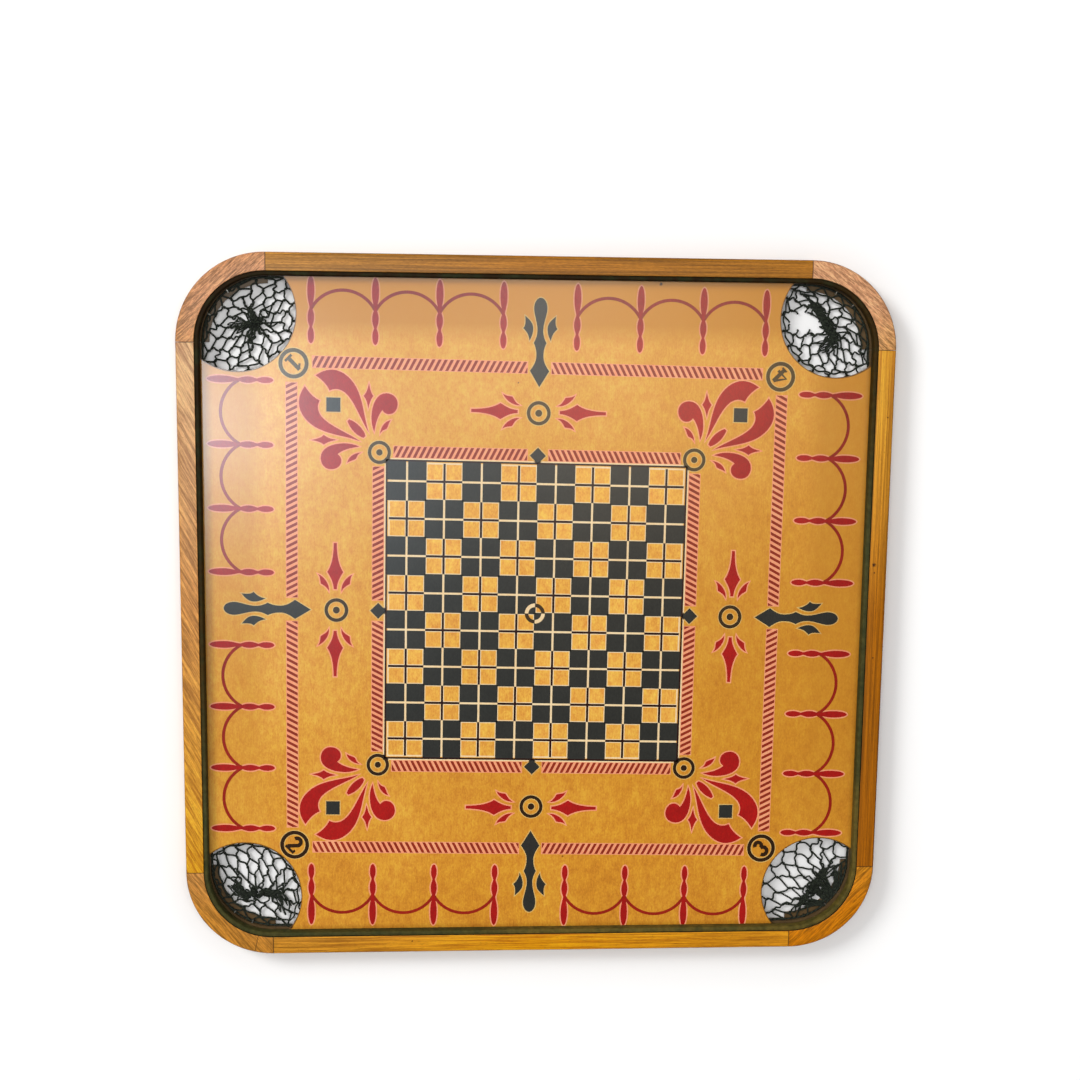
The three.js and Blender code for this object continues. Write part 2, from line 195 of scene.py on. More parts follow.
panelFinish = {
    "amber": ("#CE8724", "#D48F28", "#DA982E"),  # darker to lighter clouds of the aged varnish
    "faded": ("#E1A53F", "#E6AC47", "#EBB351"),  # and paler ones towards the back left
    "paleLean": -0.6,  # to the left, for each step to the back
    "paleRun": (-260, 330),
    "tile": ("#DC9E3C", "#E0A240", "#E6AA48"),  # the light squares are printed a shade paler
    "cloud": (55, 80, 60),
    "cloudStops": (0.34, 0.5, 0.66),
    # Width, run and depth of the veneer's patterns, and how far they lighten and darken it
    "patterns": {
        "mottle": ((7, 11, 9), 0.091),
        "streak": ((1.4, 22, 3), 0.052),
        "fleck": ((1.3, 2.6, 2), 0.13),
    },
    "bandDark": "#B87A20",  # the band outside the outer hatching is darker, most of all at the back
    "bandDarkRun": (250, 295),
    "bandDarkRise": (-420, 330),
    "dull": ((320, -90, 15), 250, 90, 0.3),  # and a patch at the right is duller, up to the outer hatching
    "grimeAndShade": "#5E3C14",
    "grimeAndShadeEdge": (5, 0.35),  # grime and painted shade along the walls: their width, and the most they cover
    "grimeAndShadeLeast": 0.4,
    "grimeAndShadePatch": 9,
    "cutEdge": "#3A2210",
    "cutStainAndShade": (1.4, 0.5, 0.8),  # a dark ring round a cut-out, stain with painted shade of its edge: where it begins and is full, and the most it covers
    "ply": "#B98A55",
    "core": "#8A5F38",
    "coreRun": (0.3, 0.34, 0.66, 0.7),  # shares of the thickness
    "edgePatch": (6, 6, 1),  # the cut edges are stained, with barer patches
    "blot": "#2A1808",
    "blots": [
        (121, 336.5, 2.2),
        (-255, -337, 1.9),
        (96, -118, 0.8),
        (-22, 236, 0.9),
        (214, -30, 0.7),
        (30, -262, 0.8),
    ],
}


def veneerPattern(tree, kind):
    return unevenness(tree, panelFinish["patterns"][kind][0], 3, 0.6)


# Rotary cut veneer under amber varnish: soft clouds and mottle, faint streaks along y and short flecks
def veneerColour(tree, shades):
    p = panelFinish
    clouds = zip(p["cloudStops"], p[shades])
    colour = addNode(tree, "ValToRGB", [unevenness(tree, p["cloud"], 5, 0.6)], clouds)
    for kind, (_, amount) in p["patterns"].items():
        colour = shaded(tree, colour, veneerPattern(tree, kind), amount)
    return colour


# The varnish over veneer or print, with the relief of the streaks under it
def addVarnish(tree, colour, relief=0.03):
    addSurface(tree, colour, varnish, veneerPattern(tree, "streak"), relief)


# How far the band outside the outer hatching is darkened, from none in front to most at the back
def bandDarkShare(tree):
    band = addNode(tree, "MapRange", [fromMiddle(tree), *panelFinish["bandDarkRun"]])
    rise = addNode(tree, "MapRange", [boardAxes(tree)["Y"], *panelFinish["bandDarkRise"]])
    return addNode(tree, "Math", [band, rise], operation="MULTIPLY")


# Birch plywood: the veneer's faces, and layers of light and darker wood in the cut edges
def makePlywood():
    material, tree = newMaterial("varnishedPlywood")
    p = panelFinish
    place, axes = boardPlace(tree), boardAxes(tree)
    # The veneer turns paler towards the back left
    towardsBackLeft = addNode(tree, "Math", [axes["X"], p["paleLean"], axes["Y"]], operation="MULTIPLY_ADD")
    faded = addNode(tree, "MapRange", [towardsBackLeft, *p["paleRun"]])
    middle, far, near, most = p["dull"]
    toDull = addNode(tree, "VectorMath", [place, middle], operation="DISTANCE").outputs["Value"]
    dull = addNode(tree, "MapRange", [toDull, far, near, 0, most])
    # Grime along the walls, with painted shade where the frame shades the panel
    width, most = p["grimeAndShadeEdge"]
    rim = addNode(tree, "MapRange", [fromMiddle(tree), wallHalf - width, wallHalf, 0, most])
    patches = addNode(tree, "Math", [unevenness(tree, p["grimeAndShadePatch"]), p["grimeAndShadeLeast"]], operation="ADD")
    grimeAndShade = addNode(tree, "Math", [rim, patches], operation="MULTIPLY")
    # A dark ring round each cut-out: stain, with painted shade of the hole's edge
    flat = addNode(tree, "VectorMath", [quarterPlace(tree), (1, 1, 0)], operation="MULTIPLY")
    pocket = [flat, (pocketPlace, pocketPlace, 0)]
    toPocket = addNode(tree, "VectorMath", pocket, operation="DISTANCE").outputs["Value"]
    far, near, most = p["cutStainAndShade"]
    stainAndShade = addNode(tree, "MapRange", [toPocket, pocketRadius + far, pocketRadius + near, 0, most])
    veneer = layered(
        tree,
        veneerColour(tree, "amber"),
        (faded, veneerColour(tree, "faded")),
        (bandDarkShare(tree), p["bandDark"]),
        (dull, p["bandDark"]),
        (grimeAndShade, p["grimeAndShade"]),
        (stainAndShade, p["cutEdge"]),
        (blots(tree, p["blots"]), p["blot"]),
    )
    height = addNode(tree, "MapRange", [axes["Z"], panelUnder, panelTop])
    shades = (p["ply"], p["core"], p["core"], p["ply"])
    plies = addNode(tree, "ValToRGB", [height], zip(p["coreRun"], shades))
    onFace = addNode(tree, "Math", [flatness(tree), 0.5], operation="GREATER_THAN")
    patches = unevenness(tree, p["edgePatch"])
    addVarnish(tree, layered(tree, p["cutEdge"], (patches, plies), (onFace, veneer)))
    return material


# The light squares: the same veneer under a thin straw-coloured print
def makeLightTiles():
    material, tree = newMaterial("tileInk")
    addVarnish(tree, veneerColour(tree, "tile"))
    return material


inkWear = {
    "ageRun": (-120, 240),  # from front to back
    "patches": (30, 0.06),  # size, and how far they lighten and darken
    "fleck": 0.08,
    "bandDark": 0.36,  # darker in the band outside the outer hatching
    "specks": (0.9, [(0.66, 0), (0.78, 0.4)]),  # where thin ink shows, and how much of it
    "streaks": [(0.55, 0), (0.75, 0.08)],
    "relief": 0.02,
}


# Screen-printed ink under the same varnish: nearly even, with worn specks and the veneer's streaks
def makeInk(name, colour, thin, aged=None):
    material, tree = newMaterial(name)
    w = inkWear
    if aged:
        age = addNode(tree, "MapRange", [boardAxes(tree)["Y"], *w["ageRun"]])
        colour = layered(tree, colour, (age, aged))
    size, amount = w["patches"]
    colour = shaded(tree, colour, unevenness(tree, size, 4, 0.6), amount)
    colour = shaded(tree, colour, veneerPattern(tree, "fleck"), w["fleck"])
    dulled = addNode(tree, "Math", [bandDarkShare(tree), w["bandDark"]], operation="MULTIPLY")
    size, levels = w["specks"]
    specks = addNode(tree, "ValToRGB", [unevenness(tree, size, 2, 0.6)], levels)
    streaks = addNode(tree, "ValToRGB", [veneerPattern(tree, "streak")], w["streaks"])
    worn = addNode(tree, "Math", [specks, streaks], operation="MAXIMUM")
    addVarnish(tree, layered(tree, colour, (dulled, "#000000"), (worn, thin)), w["relief"])
    return material


plywood = makePlywood()
# Each ink's full and thin colour, and what it has aged to at the back
inkColours = {
    "charcoal": ("#2C2C28", "#4E4632"),
    "brown": ("#240400", "#5A3414"),
    "umber": ("#2C1803", "#5A3414", "#4E3C1A"),
    "red": ("#A8120E", "#BE4A20"),
    "brick": ("#981E0C", "#B05A28"),
    "rust": ("#8E2A14", "#B05A28"),
    "cream": ("#F4D6A6", "#E2B874"),
    "straw": ("#DDB368", "#D6A04C"),
    "pink": ("#F49E74", "#E29C5C"),
}
inks = {name: makeInk(name + "Ink", *colours) for name, colours in inkColours.items()}
inks["tile"] = makeLightTiles()

# Shades from front to back, or left to right; run, width and height of a streak; the grain's turn; how far
# its flecks lighten and darken it
woods = {
    "rail_right": (("#9B5805", "#9E5C04", "#D2952D"), (150, 1.7, 3), 90, 0.03),
    "rail_back": (("#A27030", "#965F18", "#966018"), (120, 1.4, 3), 0, 0.08),
    "rail_left": (("#CF921A", "#BD803E", "#C79C6F"), (42, 2.4, 3), -62, 0.07),
    "rail_front": (("#BE8024", "#D08908", "#C48016"), (60, 1.7, 3), 0, 0.04),
    "corner_back_right": (("#BC8850", "#C38E66", "#C38E66"), (16, 1.8, 3), -38, 0.16),
    "corner_back_left": (("#B58050", "#B58058", "#B58058"), (20, 1.8, 3), 42, 0.16),
    "corner_front_left": (("#B4782A", "#B4782A", "#BC8240"), (34, 2.0, 3), -52, 0.07),
    "corner_front_right": (("#BA6E06", "#BA6E06", "#BC781A"), (26, 1.9, 3), 44, 0.07),
}
hardwood = {
    "gloss": {"Roughness": 0.38, "Specular IOR Level": 0.08},  # the rails are rubbed duller than the panel
    "relief": 0.08,
    "streak": (0.2, 1.7),  # how far the streaks lighten and darken the wood, and their contrast
    "figure": (0.05, 1),
    "fleck": (4.5, 0.9, 2),
    "fleckContrast": 1.4,
    "pore": (5, 0.5, 1),
    "pores": [(0.6, 0), (0.72, 0.45)],
    "dent": 2.2,
    "dents": [(0.7, 0), (0.78, 0.45)],
    "line": "#5A3410",
    "edge": "#3C2816",
    "worn": [(0.1, 0.16), (0.45, 0.6), (0.9, 0)],  # worn edges with dirt, and painted shade on rounded edges and walls: from the walls over the rounded edges to the flat faces
    "joint": (0.9, 0.2, 0, 0.6),  # dirt at a joint: where it begins and is full, and the most it covers
    "paint": "#1A2014",  # on the wall behind the liner
    "paintDepth": 4.9,
    "foot": "#5E4A30",  # bare wood under the panel's level
    "knot": "#3A1A06",
    "knots": [
        (348.2, 52.3, 2.4),
        (349, 44, 0.9),
        (356, 205, 1.0),
        (351, -46, 0.8),
        (-352, 130, 0.8),
        (-128, -350, 0.9),
    ],
    "crack": ((-287.2, -335.1), (-292.2, -358.5), 0.45, 0.85),  # ends, half the width, most it covers
}


# A thin split in the front left block, along the line between two points
def crackShare(tree, axes):
    (x0, y0), (x1, y1), thin, most = hardwood["crack"]
    slope = (x1 - x0) / (y1 - y0)
    lean = addNode(tree, "Math", [axes["Y"], -slope, slope * y0 - x0], operation="MULTIPLY_ADD")
    line = addNode(tree, "Math", [axes["X"], lean], operation="ADD")
    toLine = addNode(tree, "Math", [line], operation="ABSOLUTE")
    return addNode(tree, "MapRange", [toLine, thin, thin * 0.4, 0, most])


# Hardwood under clear varnish: streaks along the grain, short flecks, dark worn edges with painted shade on
# the rounded edges and walls, dirty joints
def makeHardwood(name):
    material, tree = newMaterial("varnishedHardwood_" + name)
    h, (shades, grain, turn, fleck) = hardwood, woods[name]
    seat = (len(name) * 37, sum(map(ord, name)) % 97, 0)  # another stretch of the pattern for each piece
    axes = boardAxes(tree)
    along = axes["X" if name in ("rail_back", "rail_front") else "Y"]
    back = 1 if "back" in name else -1
    ends = (-railReach, railReach) if "rail" in name else sorted((arcCentre * back, boardHalf * back))
    colour = addNode(tree, "ValToRGB", [addNode(tree, "MapRange", [along, *ends])], zip((0, 0.5, 1), shades))
    run, width, high = grain
    streaks = unevenness(tree, grain, 4, 0.62, turn, seat, 0.3)
    figure = unevenness(tree, (run * 2, width * 5, high * 4), 3, 0.5, turn, seat, 0.6)
    flecks, fleckDepth = unevenness(tree, h["fleck"], 3, 0.6, turn, seat), (fleck, h["fleckContrast"])
    for pattern, depth in ((streaks, h["streak"]), (figure, h["figure"]), (flecks, fleckDepth)):
        colour = shaded(tree, colour, pattern, *depth)
    quarter = addNode(tree, "SeparateXYZ", [quarterPlace(tree)]).outputs
    nearer = addNode(tree, "Math", [quarter["X"], quarter["Y"]], operation="MINIMUM")
    off = addNode(tree, "Math", [nearer, railReach + seatGap / 2], operation="SUBTRACT")
    toJoint = addNode(tree, "Math", [off], operation="ABSOLUTE")
    pores = unevenness(tree, h["pore"], 2, 0.5, turn, seat)
    layers = [
        (addNode(tree, "ValToRGB", [pores], h["pores"]), h["line"]),
        (addNode(tree, "ValToRGB", [unevenness(tree, h["dent"], 2)], h["dents"]), h["line"]),
        (blots(tree, h["knots"]), h["knot"]),
        # Darker by the face's tilt: dirt on worn edges, and painted shade on rounded edges and walls
        (addNode(tree, "ValToRGB", [flatness(tree)], h["worn"]), h["edge"]),
        (addNode(tree, "MapRange", [toJoint, *h["joint"]]), h["edge"]),
    ]
    if name == "corner_front_left":
        layers.append((crackShare(tree, axes), h["edge"]))
    reach = wallHalf + h["paintDepth"]
    inner = addNode(tree, "MapRange", [fromMiddle(tree), reach, reach - 0.2])
    low = addNode(tree, "MapRange", [axes["Z"], panelUnder + 0.5, panelUnder])
    layers.append((inner, shaded(tree, layered(tree, h["paint"], (low, h["foot"])), streaks, 0.1)))
    addSurface(tree, layered(tree, colour, *layers), h["gloss"], streaks, h["relief"])
    return material


linerFinish = {
    # The near black at the back and the darker left are painted shade; the olive brown towards the front is
    # wear
    "worn": [(0.1, "#221504"), (0.38, "#3A2A0A"), (0.6, "#434122"), (0.95, "#423E1D"), (1, "#5E5022")],
    "green": "#26301A",  # where less worn
    "greenPatches": [(0.45, 0), (0.7, 0.6)],
    "run": (-341, 341),  # from the back over left and right to the front
    "sideLean": 0.4,  # and somewhat to the right
    "patch": 16,
    "mottle": (5, 0.12),  # size, and how far it lightens and darkens
    "relief": (2.5, 0.08),  # size and depth
    "gloss": {"Roughness": 0.6, "Specular IOR Level": 0.05},
}


# Old green paint on a wood strip: dull, worn through to an olive brown, most of all at the front, with
# painted shade that darkens the back and left strips
def makeLinerPaint():
    material, tree = newMaterial("oldGreenPaint")
    p, axes = linerFinish, boardAxes(tree)
    side = addNode(tree, "Math", [axes["X"], p["sideLean"]], operation="MULTIPLY")
    across = addNode(tree, "Math", [side, axes["Y"]], operation="SUBTRACT")
    worn = addNode(tree, "ValToRGB", [addNode(tree, "MapRange", [across, *p["run"]])], p["worn"])
    patches = addNode(tree, "ValToRGB", [unevenness(tree, p["patch"], 4, 0.6)], p["greenPatches"])
    (mottle, amount), (grit, depth) = p["mottle"], p["relief"]
    colour = shaded(tree, layered(tree, worn, (patches, p["green"])), unevenness(tree, mottle), amount)
    addSurface(tree, colour, p["gloss"], unevenness(tree, grit), depth)
    return material


yarnFinish = {
    "pitch": 2.6,
    # Dark and light of the lay; the light one is a painted highlight
    "twist": ("#0A0C08", "#2C3227"),
    "fuzz": ("#090B07", "#31372B"),
    "fuzzShare": 0.35,
}


# Tarred cotton twine of two yarns, near black, matt, with the lay drawn along the cord's own map and a
# painted highlight on its ridges
def makeCordYarn():
    material, tree = newMaterial("tarredCotton")
    p = yarnFinish
    wavePhase = fullTurn / 20  # the wave texture turns its phase by twenty radians a unit
    turns = (2 * wavePhase, wavePhase / (p["pitch"] * mm), 1)
    along = addNode(tree, "Mapping", {"Vector": addNode(tree, "UVMap", uv_map="lay"), "Scale": turns})
    twist = addNode(tree, "TexWave", {"Vector": along, "Scale": 1.0}, bands_direction="DIAGONAL")
    # The lighter twist colour is a painted highlight on the ridges of the lay
    tint = addNode(tree, "ValToRGB", [twist], zip((0.1, 0.8), p["twist"]))
    fuzz = addNode(tree, "ValToRGB", [unevenness(tree, 0.6, 2)], zip((0.3, 0.7), p["fuzz"]))
    colour = layered(tree, tint, (p["fuzzShare"], fuzz))
    addSurface(tree, colour, {"Roughness": 0.8, "Specular IOR Level": 0.2}, twist, 0.2)
    return material


# Drawn wire, dull with tarnish
def makeSteel():
    material, tree = newMaterial("drawnSteel")
    tarnish = unevenness(tree, 2)
    colour = addNode(tree, "ValToRGB", [tarnish], [(0.35, "#3E3A34"), (0.65, "#7A766E")])
    rough = addNode(tree, "ValToRGB", [tarnish], [(0.3, 0.65), (0.7, 0.45)])
    addSurface(tree, colour, {"Metallic": 1.0, "Roughness": rough})
    return material


# Unfinished tongue of light hardwood, glued in its slots
def makeRawWood():
    material, tree = newMaterial("rawHardwood")
    streaks = unevenness(tree, (1.2, 20, 1.2))
    colour = addNode(tree, "ValToRGB", [streaks], [(0.3, "#B98F5C"), (0.7, "#D8B27C")])
    addSurface(tree, colour, {"Roughness": 0.7}, streaks, 0.1)
    return material


linerPaint, cordYarn, steel, rawWood = makeLinerPaint(), makeCordYarn(), makeSteel(), makeRawWood()
print("materials made")


# Pieces
def addPiece(name, mesh, material, replaced=()):
    piece = bpy.data.objects.new(name, mesh)
    scene.collection.objects.link(piece)
    mesh.materials.clear()
    mesh.materials.append(material)
    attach(piece, "root")
    if replaced:
        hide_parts(*replaced)


# The finished mesh, with sharp edges kept where its faces meet at more than an angle
def meshFrom(bm, name, smoothAngle=None):
    mesh = bpy.data.meshes.new(name)
    bmesh.ops.recalc_face_normals(bm, faces=bm.faces)
    if smoothAngle:
        for face in bm.faces:
            face.smooth = True
        for edge in bm.edges:
            edge.smooth = edge.calc_face_angle(math.pi) < math.radians(smoothAngle)
    bm.to_mesh(mesh)
    bm.free()
    return mesh


# Frame: rails, corner blocks and liner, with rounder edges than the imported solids
frameSection = {
    "lip": 7,  # the corner blocks reach further in at their foot
    "lipTop": 4,
    "ledge": 4.6,
    "outerRound": 2.4,
    "innerRound": 0.9,
    "footRound": 1.5,
}
linerSection = {"topRound": 1.9, "backRound": 0.5}
edgeSteps, arcSteps, smoothAngle = 6, 40, 40


# A section in the plane y = start, with some corners rounded
def sectionFace(bm, outline, rounds, start):
    verts = [bm.verts.new((x * mm, start * mm, z * mm)) for x, z in outline]
    bm.faces.new(verts)
    how = {"offset_type": "OFFSET", "segments": edgeSteps, "profile": 0.5, "material": -1}
    for index, radius in rounds.items():
        bmesh.ops.bevel(bm, geom=[verts[index]], offset=radius * mm, affect="VERTICES", **how)
    return bm.faces[:]


def only(kind, items):
    return [item for item in items if isinstance(item, kind)]


def runStraight(bm, faces, way):
    result = bmesh.ops.extrude_face_region(bm, geom=faces)["geom"]
    bmesh.ops.translate(bm, verts=only(bmesh.types.BMVert, result), vec=[value * mm for value in way])
    return only(bmesh.types.BMFace, result)


def runRound(bm, faces):
    turn = {"cent": (arcCentre * mm, arcCentre * mm, 0), "axis": (0, 0, 1), "angle": fullTurn / 4}
    result = bmesh.ops.spin(bm, geom=faces, steps=arcSteps, use_duplicate=False, use_merge=False, **turn)
    return only(bmesh.types.BMFace, result["geom_last"])


def frameFace(bm, start, lip=0):
    f = frameSection
    rebate, ledgeTop = wallHalf + f["ledge"], panelUnder - seatGap
    outline = [(wallHalf - lip, 0), (boardHalf, 0), (boardHalf, boardTop), (rebate, boardTop)]
    outline += [(rebate, ledgeTop), (wallHalf, ledgeTop)]
    if lip:
        outline += [(wallHalf, f["lipTop"]), (wallHalf - lip, f["lipTop"])]
    return sectionFace(bm, outline, {1: f["footRound"], 2: f["outerRound"], 3: f["innerRound"]}, start)


def linerFace(bm, start):
    outline = [(wallHalf, linerFoot), (linerOut, linerFoot), (linerOut, linerTop), (wallHalf, linerTop)]
    return sectionFace(bm, outline, {2: linerSection["backRound"], 3: linerSection["topRound"]}, start)


# Turns a piece from its place at the right, or back right, to its own
def addTurned(bm, quarter, name, material):
    turn = Matrix.Rotation(quarter * fullTurn / 4, 3, "Z")
    bmesh.ops.rotate(bm, verts=bm.verts, cent=(0, 0, 0), matrix=turn)
    addPiece("detail_" + name, meshFrom(bm, name, smoothAngle), material, [name])


def makeFrame():
    for quarter, side in enumerate(sides):
        bm = bmesh.new()
        runStraight(bm, frameFace(bm, -railReach), (0, 2 * railReach, 0))
        addTurned(bm, quarter, "rail_" + side, makeHardwood("rail_" + side))
    seam = seatGap / 2
    for quarter, corner in enumerate(corners):
        bm = bmesh.new()
        runRound(bm, frameFace(bm, arcCentre, frameSection["lip"]))
        addTurned(bm, quarter, "corner_" + corner, makeHardwood("corner_" + corner))
        bm = bmesh.new()
        end = runRound(bm, runStraight(bm, linerFace(bm, seam), (0, arcCentre - seam, 0)))
        runStraight(bm, end, (seam - arcCentre, 0, 0))
        addTurned(bm, quarter, "liner_" + corner, linerPaint)


# The CAD nodes that keep their shape
def dressNodes():
    dresses = {"playing_panel": plywood, "tongue_": rawWood, "staple_": steel}
    for name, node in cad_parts.items():
        for start, material in dresses.items():
            if name.startswith(start):
                node.data.materials.clear()
                node.data.materials.append(material)


makeFrame()
dressNodes()
print("frame made")

# Printed field, in the millimetres of its own layout: +y is up the field and it mirrors four ways
printFit = Matrix(((0.9912, 0.0076, 0, -2.5), (-0.0167, 1.005, 0, -0.98), (0, 0, 1, 0), (0, 0, 0, 1)))
# Heights above the varnish, and the depth into it
inkLayers = {"under": 0.03, "middle": 0.05, "over": 0.07, "top": 0.09, "sunk": 0.1}
halo = 1.3  # pale edge that the varnish shows round each ink

squares = {"size": 38.2, "gap": 2.1, "line": 2.3, "fringe": 0.9, "border": (0.8, 2.6), "overrun": 0.8}
centreRing = {"outer": 10.5, "inner": 6.7}
bullseyes = {
    "inner": {"place": 162, "outer": 11.7, "ring": 8.3, "dot": 3.2},
    "middle": {"place": 205.4, "outer": 12.2, "ring": 8.7, "dot": 3.5},
    "numeral": {"place": 248.7, "outer": 15.1, "ring": 11.2, "dot": 0},
}
# Bands of slanting strokes, by their lower and upper edge and their two ends
hatches = [
    {"run": (157.4, 168.6), "ends": (11, 147.5), "pitch": 6, "stroke": 3.1, "slant": 5.6},
    {"run": (245.2, 256.4), "ends": (12.4, 229.6), "pitch": 6.2, "stroke": 3.1, "slant": 5.8},
]
spindles = {"first": 37.5, "step": 64.6, "count": 4}
arcs = {"rise": 285.6, "radius": 36.4, "line": 3.2, "from": 29}  # from spindle to spindle, at their waists
diamond = {"place": 162.4, "half": 8.3}
cornerSquare = {"place": 208.7, "half": 7.1}
spearAxis = 206.6
figureStroke = 4

# Outlines as a start and stretches, each straight to its end, or curved with two handles and an end
motifs = {
    "torch": [  # right half
        (0, 320.6),
        ((4.4, 320.2), (6.8, 315), (6.7, 309.5)),
        ((6.6, 304), (3.1, 296), (2.9, 288.5)),
        ((2.9, 283), (4.4, 279.5), (6.5, 275.6)),
        ((4.6, 272), (3.4, 268), (3.6, 262)),
        ((3.8, 256), (7.2, 251.5), (9.9, 247.8)),
        (0, 231.6),
    ],
    "torchLeaf": [
        (15.6, 302.3),
        ((10, 298), (7.2, 294.5), (7.3, 289.5)),
        ((7.4, 285), (8.8, 281.5), (10.8, 277.8)),
        ((11.8, 283.5), (13.4, 286.2), (17.4, 290)),
        ((15, 292.5), (15, 296.5), (15.6, 302.3)),
    ],
    "spindle": [  # right half
        (0, 335.2),
        ((2, 334.8), (3.5, 329), (3.5, 320.5)),
        ((3.5, 312), (1.5, 307.5), (1.2, 304)),
        ((1.6, 302), (3.2, 299.5), (3.2, 294.5)),
        ((3.2, 289.5), (1.5, 287.5), (1.3, 285.2)),
        ((1.6, 283.5), (3, 281.5), (3, 277.5)),
        ((3, 273.5), (2.3, 269.6), (0, 269)),
    ],
    "spear": [  # upper half
        (21.6, 1.5),
        ((29, 1.9), (33.5, 4.6), (39.3, 8.1)),
        ((46, 3.6), (55, 1.7), (69, 1.5)),
    ],
    "spearLeaf": [
        (19.2, 6.4),
        ((23.8, 8.2), (25.6, 12.4), (27.2, 14.8)),
        ((30.5, 15.6), (33.6, 15), (36.9, 17.6)),
        ((34.6, 11.8), (27, 5.6), (19.2, 6.4)),
    ],
    "fleurLeaf": [
        (172.7, 181.5),
        ((177.2, 193), (178, 210), (183.9, 223)),
        ((188.6, 234), (199, 243.6), (210, 243.4)),
        ((216.5, 243.2), (221.5, 240.8), (226.4, 237.4)),
        ((220.2, 233.4), (215, 228.5), (212.5, 222.6)),
        ((207, 225.4), (202, 224.8), (196.6, 220.8)),
        ((187, 212.5), (182.2, 196.5), (172.7, 181.5)),
    ],
    "fleurDiamond": [
        (172.8, 231),
        ((174.2, 224), (175.6, 221), (178.2, 218.3)),
        ((175.2, 214.4), (174.2, 210.6), (173.6, 205.2)),
        ((172.4, 210.6), (171.4, 214.6), (168.4, 218.3)),
        ((171, 221.4), (171.8, 225), (172.8, 231)),
    ],
    "fleurLobe": [
        (167.3, 182.4),
        ((169.4, 187.5), (170.4, 192.5), (170.2, 198)),
        ((169.8, 209.5), (165.4, 221.4), (155, 221.4)),
        ((148.6, 221.4), (143.8, 217), (143.8, 211.2)),
        ((143.8, 205.4), (147.4, 200.6), (152.6, 200.6)),
        ((155.4, 200.6), (157.6, 202), (159.2, 204.4)),
        ((163.6, 199.6), (166, 191.5), (167.3, 182.4)),
    ],
    "fleurSprig": [
        (150.8, 194.6),
        ((155.8, 193.4), (160.4, 189.4), (161.5, 180.4)),
        ((159.8, 184.4), (157.4, 184.6), (155.2, 185.6)),
        ((153.4, 187.6), (153, 191.4), (150.8, 194.6)),
    ],
    "fleurBud": [
        (176.2, 178.2),
        ((177.8, 184.4), (184.2, 191.4), (192.6, 194.4)),
        (194.4, 192.6),
        ((191.4, 184.2), (184.4, 177.8), (178.2, 176.2)),
    ],
}


def arcPoints(centre, radius, start, end, steps):
    angles = np.linspace(math.radians(start), math.radians(end), steps + 1)
    return [(centre[0] + radius * math.cos(a), centre[1] + radius * math.sin(a)) for a in angles]


# A stretch of a ring, from one angle to another
def arcBand(centre, outer, inner, start, end, steps):
    return arcPoints(centre, outer, start, end, steps) + arcPoints(centre, inner, end, start, steps)


def box(x0, y0, x1, y1):
    return [(x0, y0), (x1, y0), (x1, y1), (x0, y1)]


# The points of a motif's outline, where a curve has nine to the next point given
def motifOutline(name):
    points = motifs[name][:1]
    for stretch in motifs[name][1:]:
        if len(stretch) == 2:
            points.append(stretch)
            continue
        knots = [Vector((x, y, 0)) for x, y in (points[-1], *stretch)]
        points += [(p.x, p.y) for p in interpolate_bezier(*knots, 9)[1:]]
    return points[:-1] if math.dist(points[0], points[-1]) < 0.001 else points


# A closed outline from its right half, which starts and ends on the middle line
def mirrored(half):
    return half + [(-x, y) for x, y in reversed(half) if abs(x) > 0.001]


# Copies in the four quarters, or above and below alone, and their mirror images over the diagonal
def images(outline, diagonal=True, across=True):
    signs = [(sx, sy) for sx in ((1, -1) if across else (1,)) for sy in (1, -1)]
    copies = [[(x * sx, y * sy) for x, y in outline] for sx, sy in signs]
    return copies + [[(y, x) for x, y in copy] for copy in copies] if diagonal else copies


def shift(outline, dx, dy):
    return [(x + dx, y + dy) for x, y in outline]


# The outline as a ring that runs counter-clockwise
def ringOf(outline):
    area = sum(a[0] * b[1] - b[0] * a[1] for a, b in zip(outline, outline[1:] + outline[:1]))
    return outline if area > 0 else outline[::-1]


# The outline moved outwards, with its sharp tips kept short
def grow(outline, amount):
    ring, grown = ringOf(outline), []
    for before, here, after in zip(ring[-1:] + ring[:-1], ring, ring[1:] + ring[:1]):
        into, out = (Vector(here) - Vector(before)).normalized(), (Vector(after) - Vector(here)).normalized()
        normal = Vector((into.y + out.y, -into.x - out.x))
        stretch = max(normal.length / 2, 0.45)
        grown.append(tuple(Vector(here) + normal.normalized() * amount / stretch))
    return grown


# The part of an outline between two values of x
def clipped(outline, low, high):
    for limit, keep in ((low, 1), (high, -1)):
        kept = []
        for a, b in zip(outline, outline[1:] + outline[:1]):
            insideA, insideB = keep * (a[0] - limit) >= 0, keep * (b[0] - limit) >= 0
            if insideA:
                kept.append(a)
            if insideA != insideB:
                share = (limit - a[0]) / (b[0] - a[0])
                kept.append((limit, a[1] + share * (b[1] - a[1])))
        outline = kept
    return outline


# Slanting strokes, and the paler ground that they stand on
def hatchOutlines(band):
    (low, high), (left, right), slant = band["run"], band["ends"], band["slant"]
    strokes = []
    for index in range(math.ceil((right - left + slant) / band["pitch"])):
        x = left - slant + index * band["pitch"]
        stroke = [(x, high), (x + slant, low), (x + slant + band["stroke"], low), (x + band["stroke"], high)]
        stroke = clipped(stroke, left, right)
        if len(stroke) > 2:
            strokes += images(stroke)
    margin = halo / 2
    return strokes, images(box(left - margin, low - margin, right + margin, high + margin))


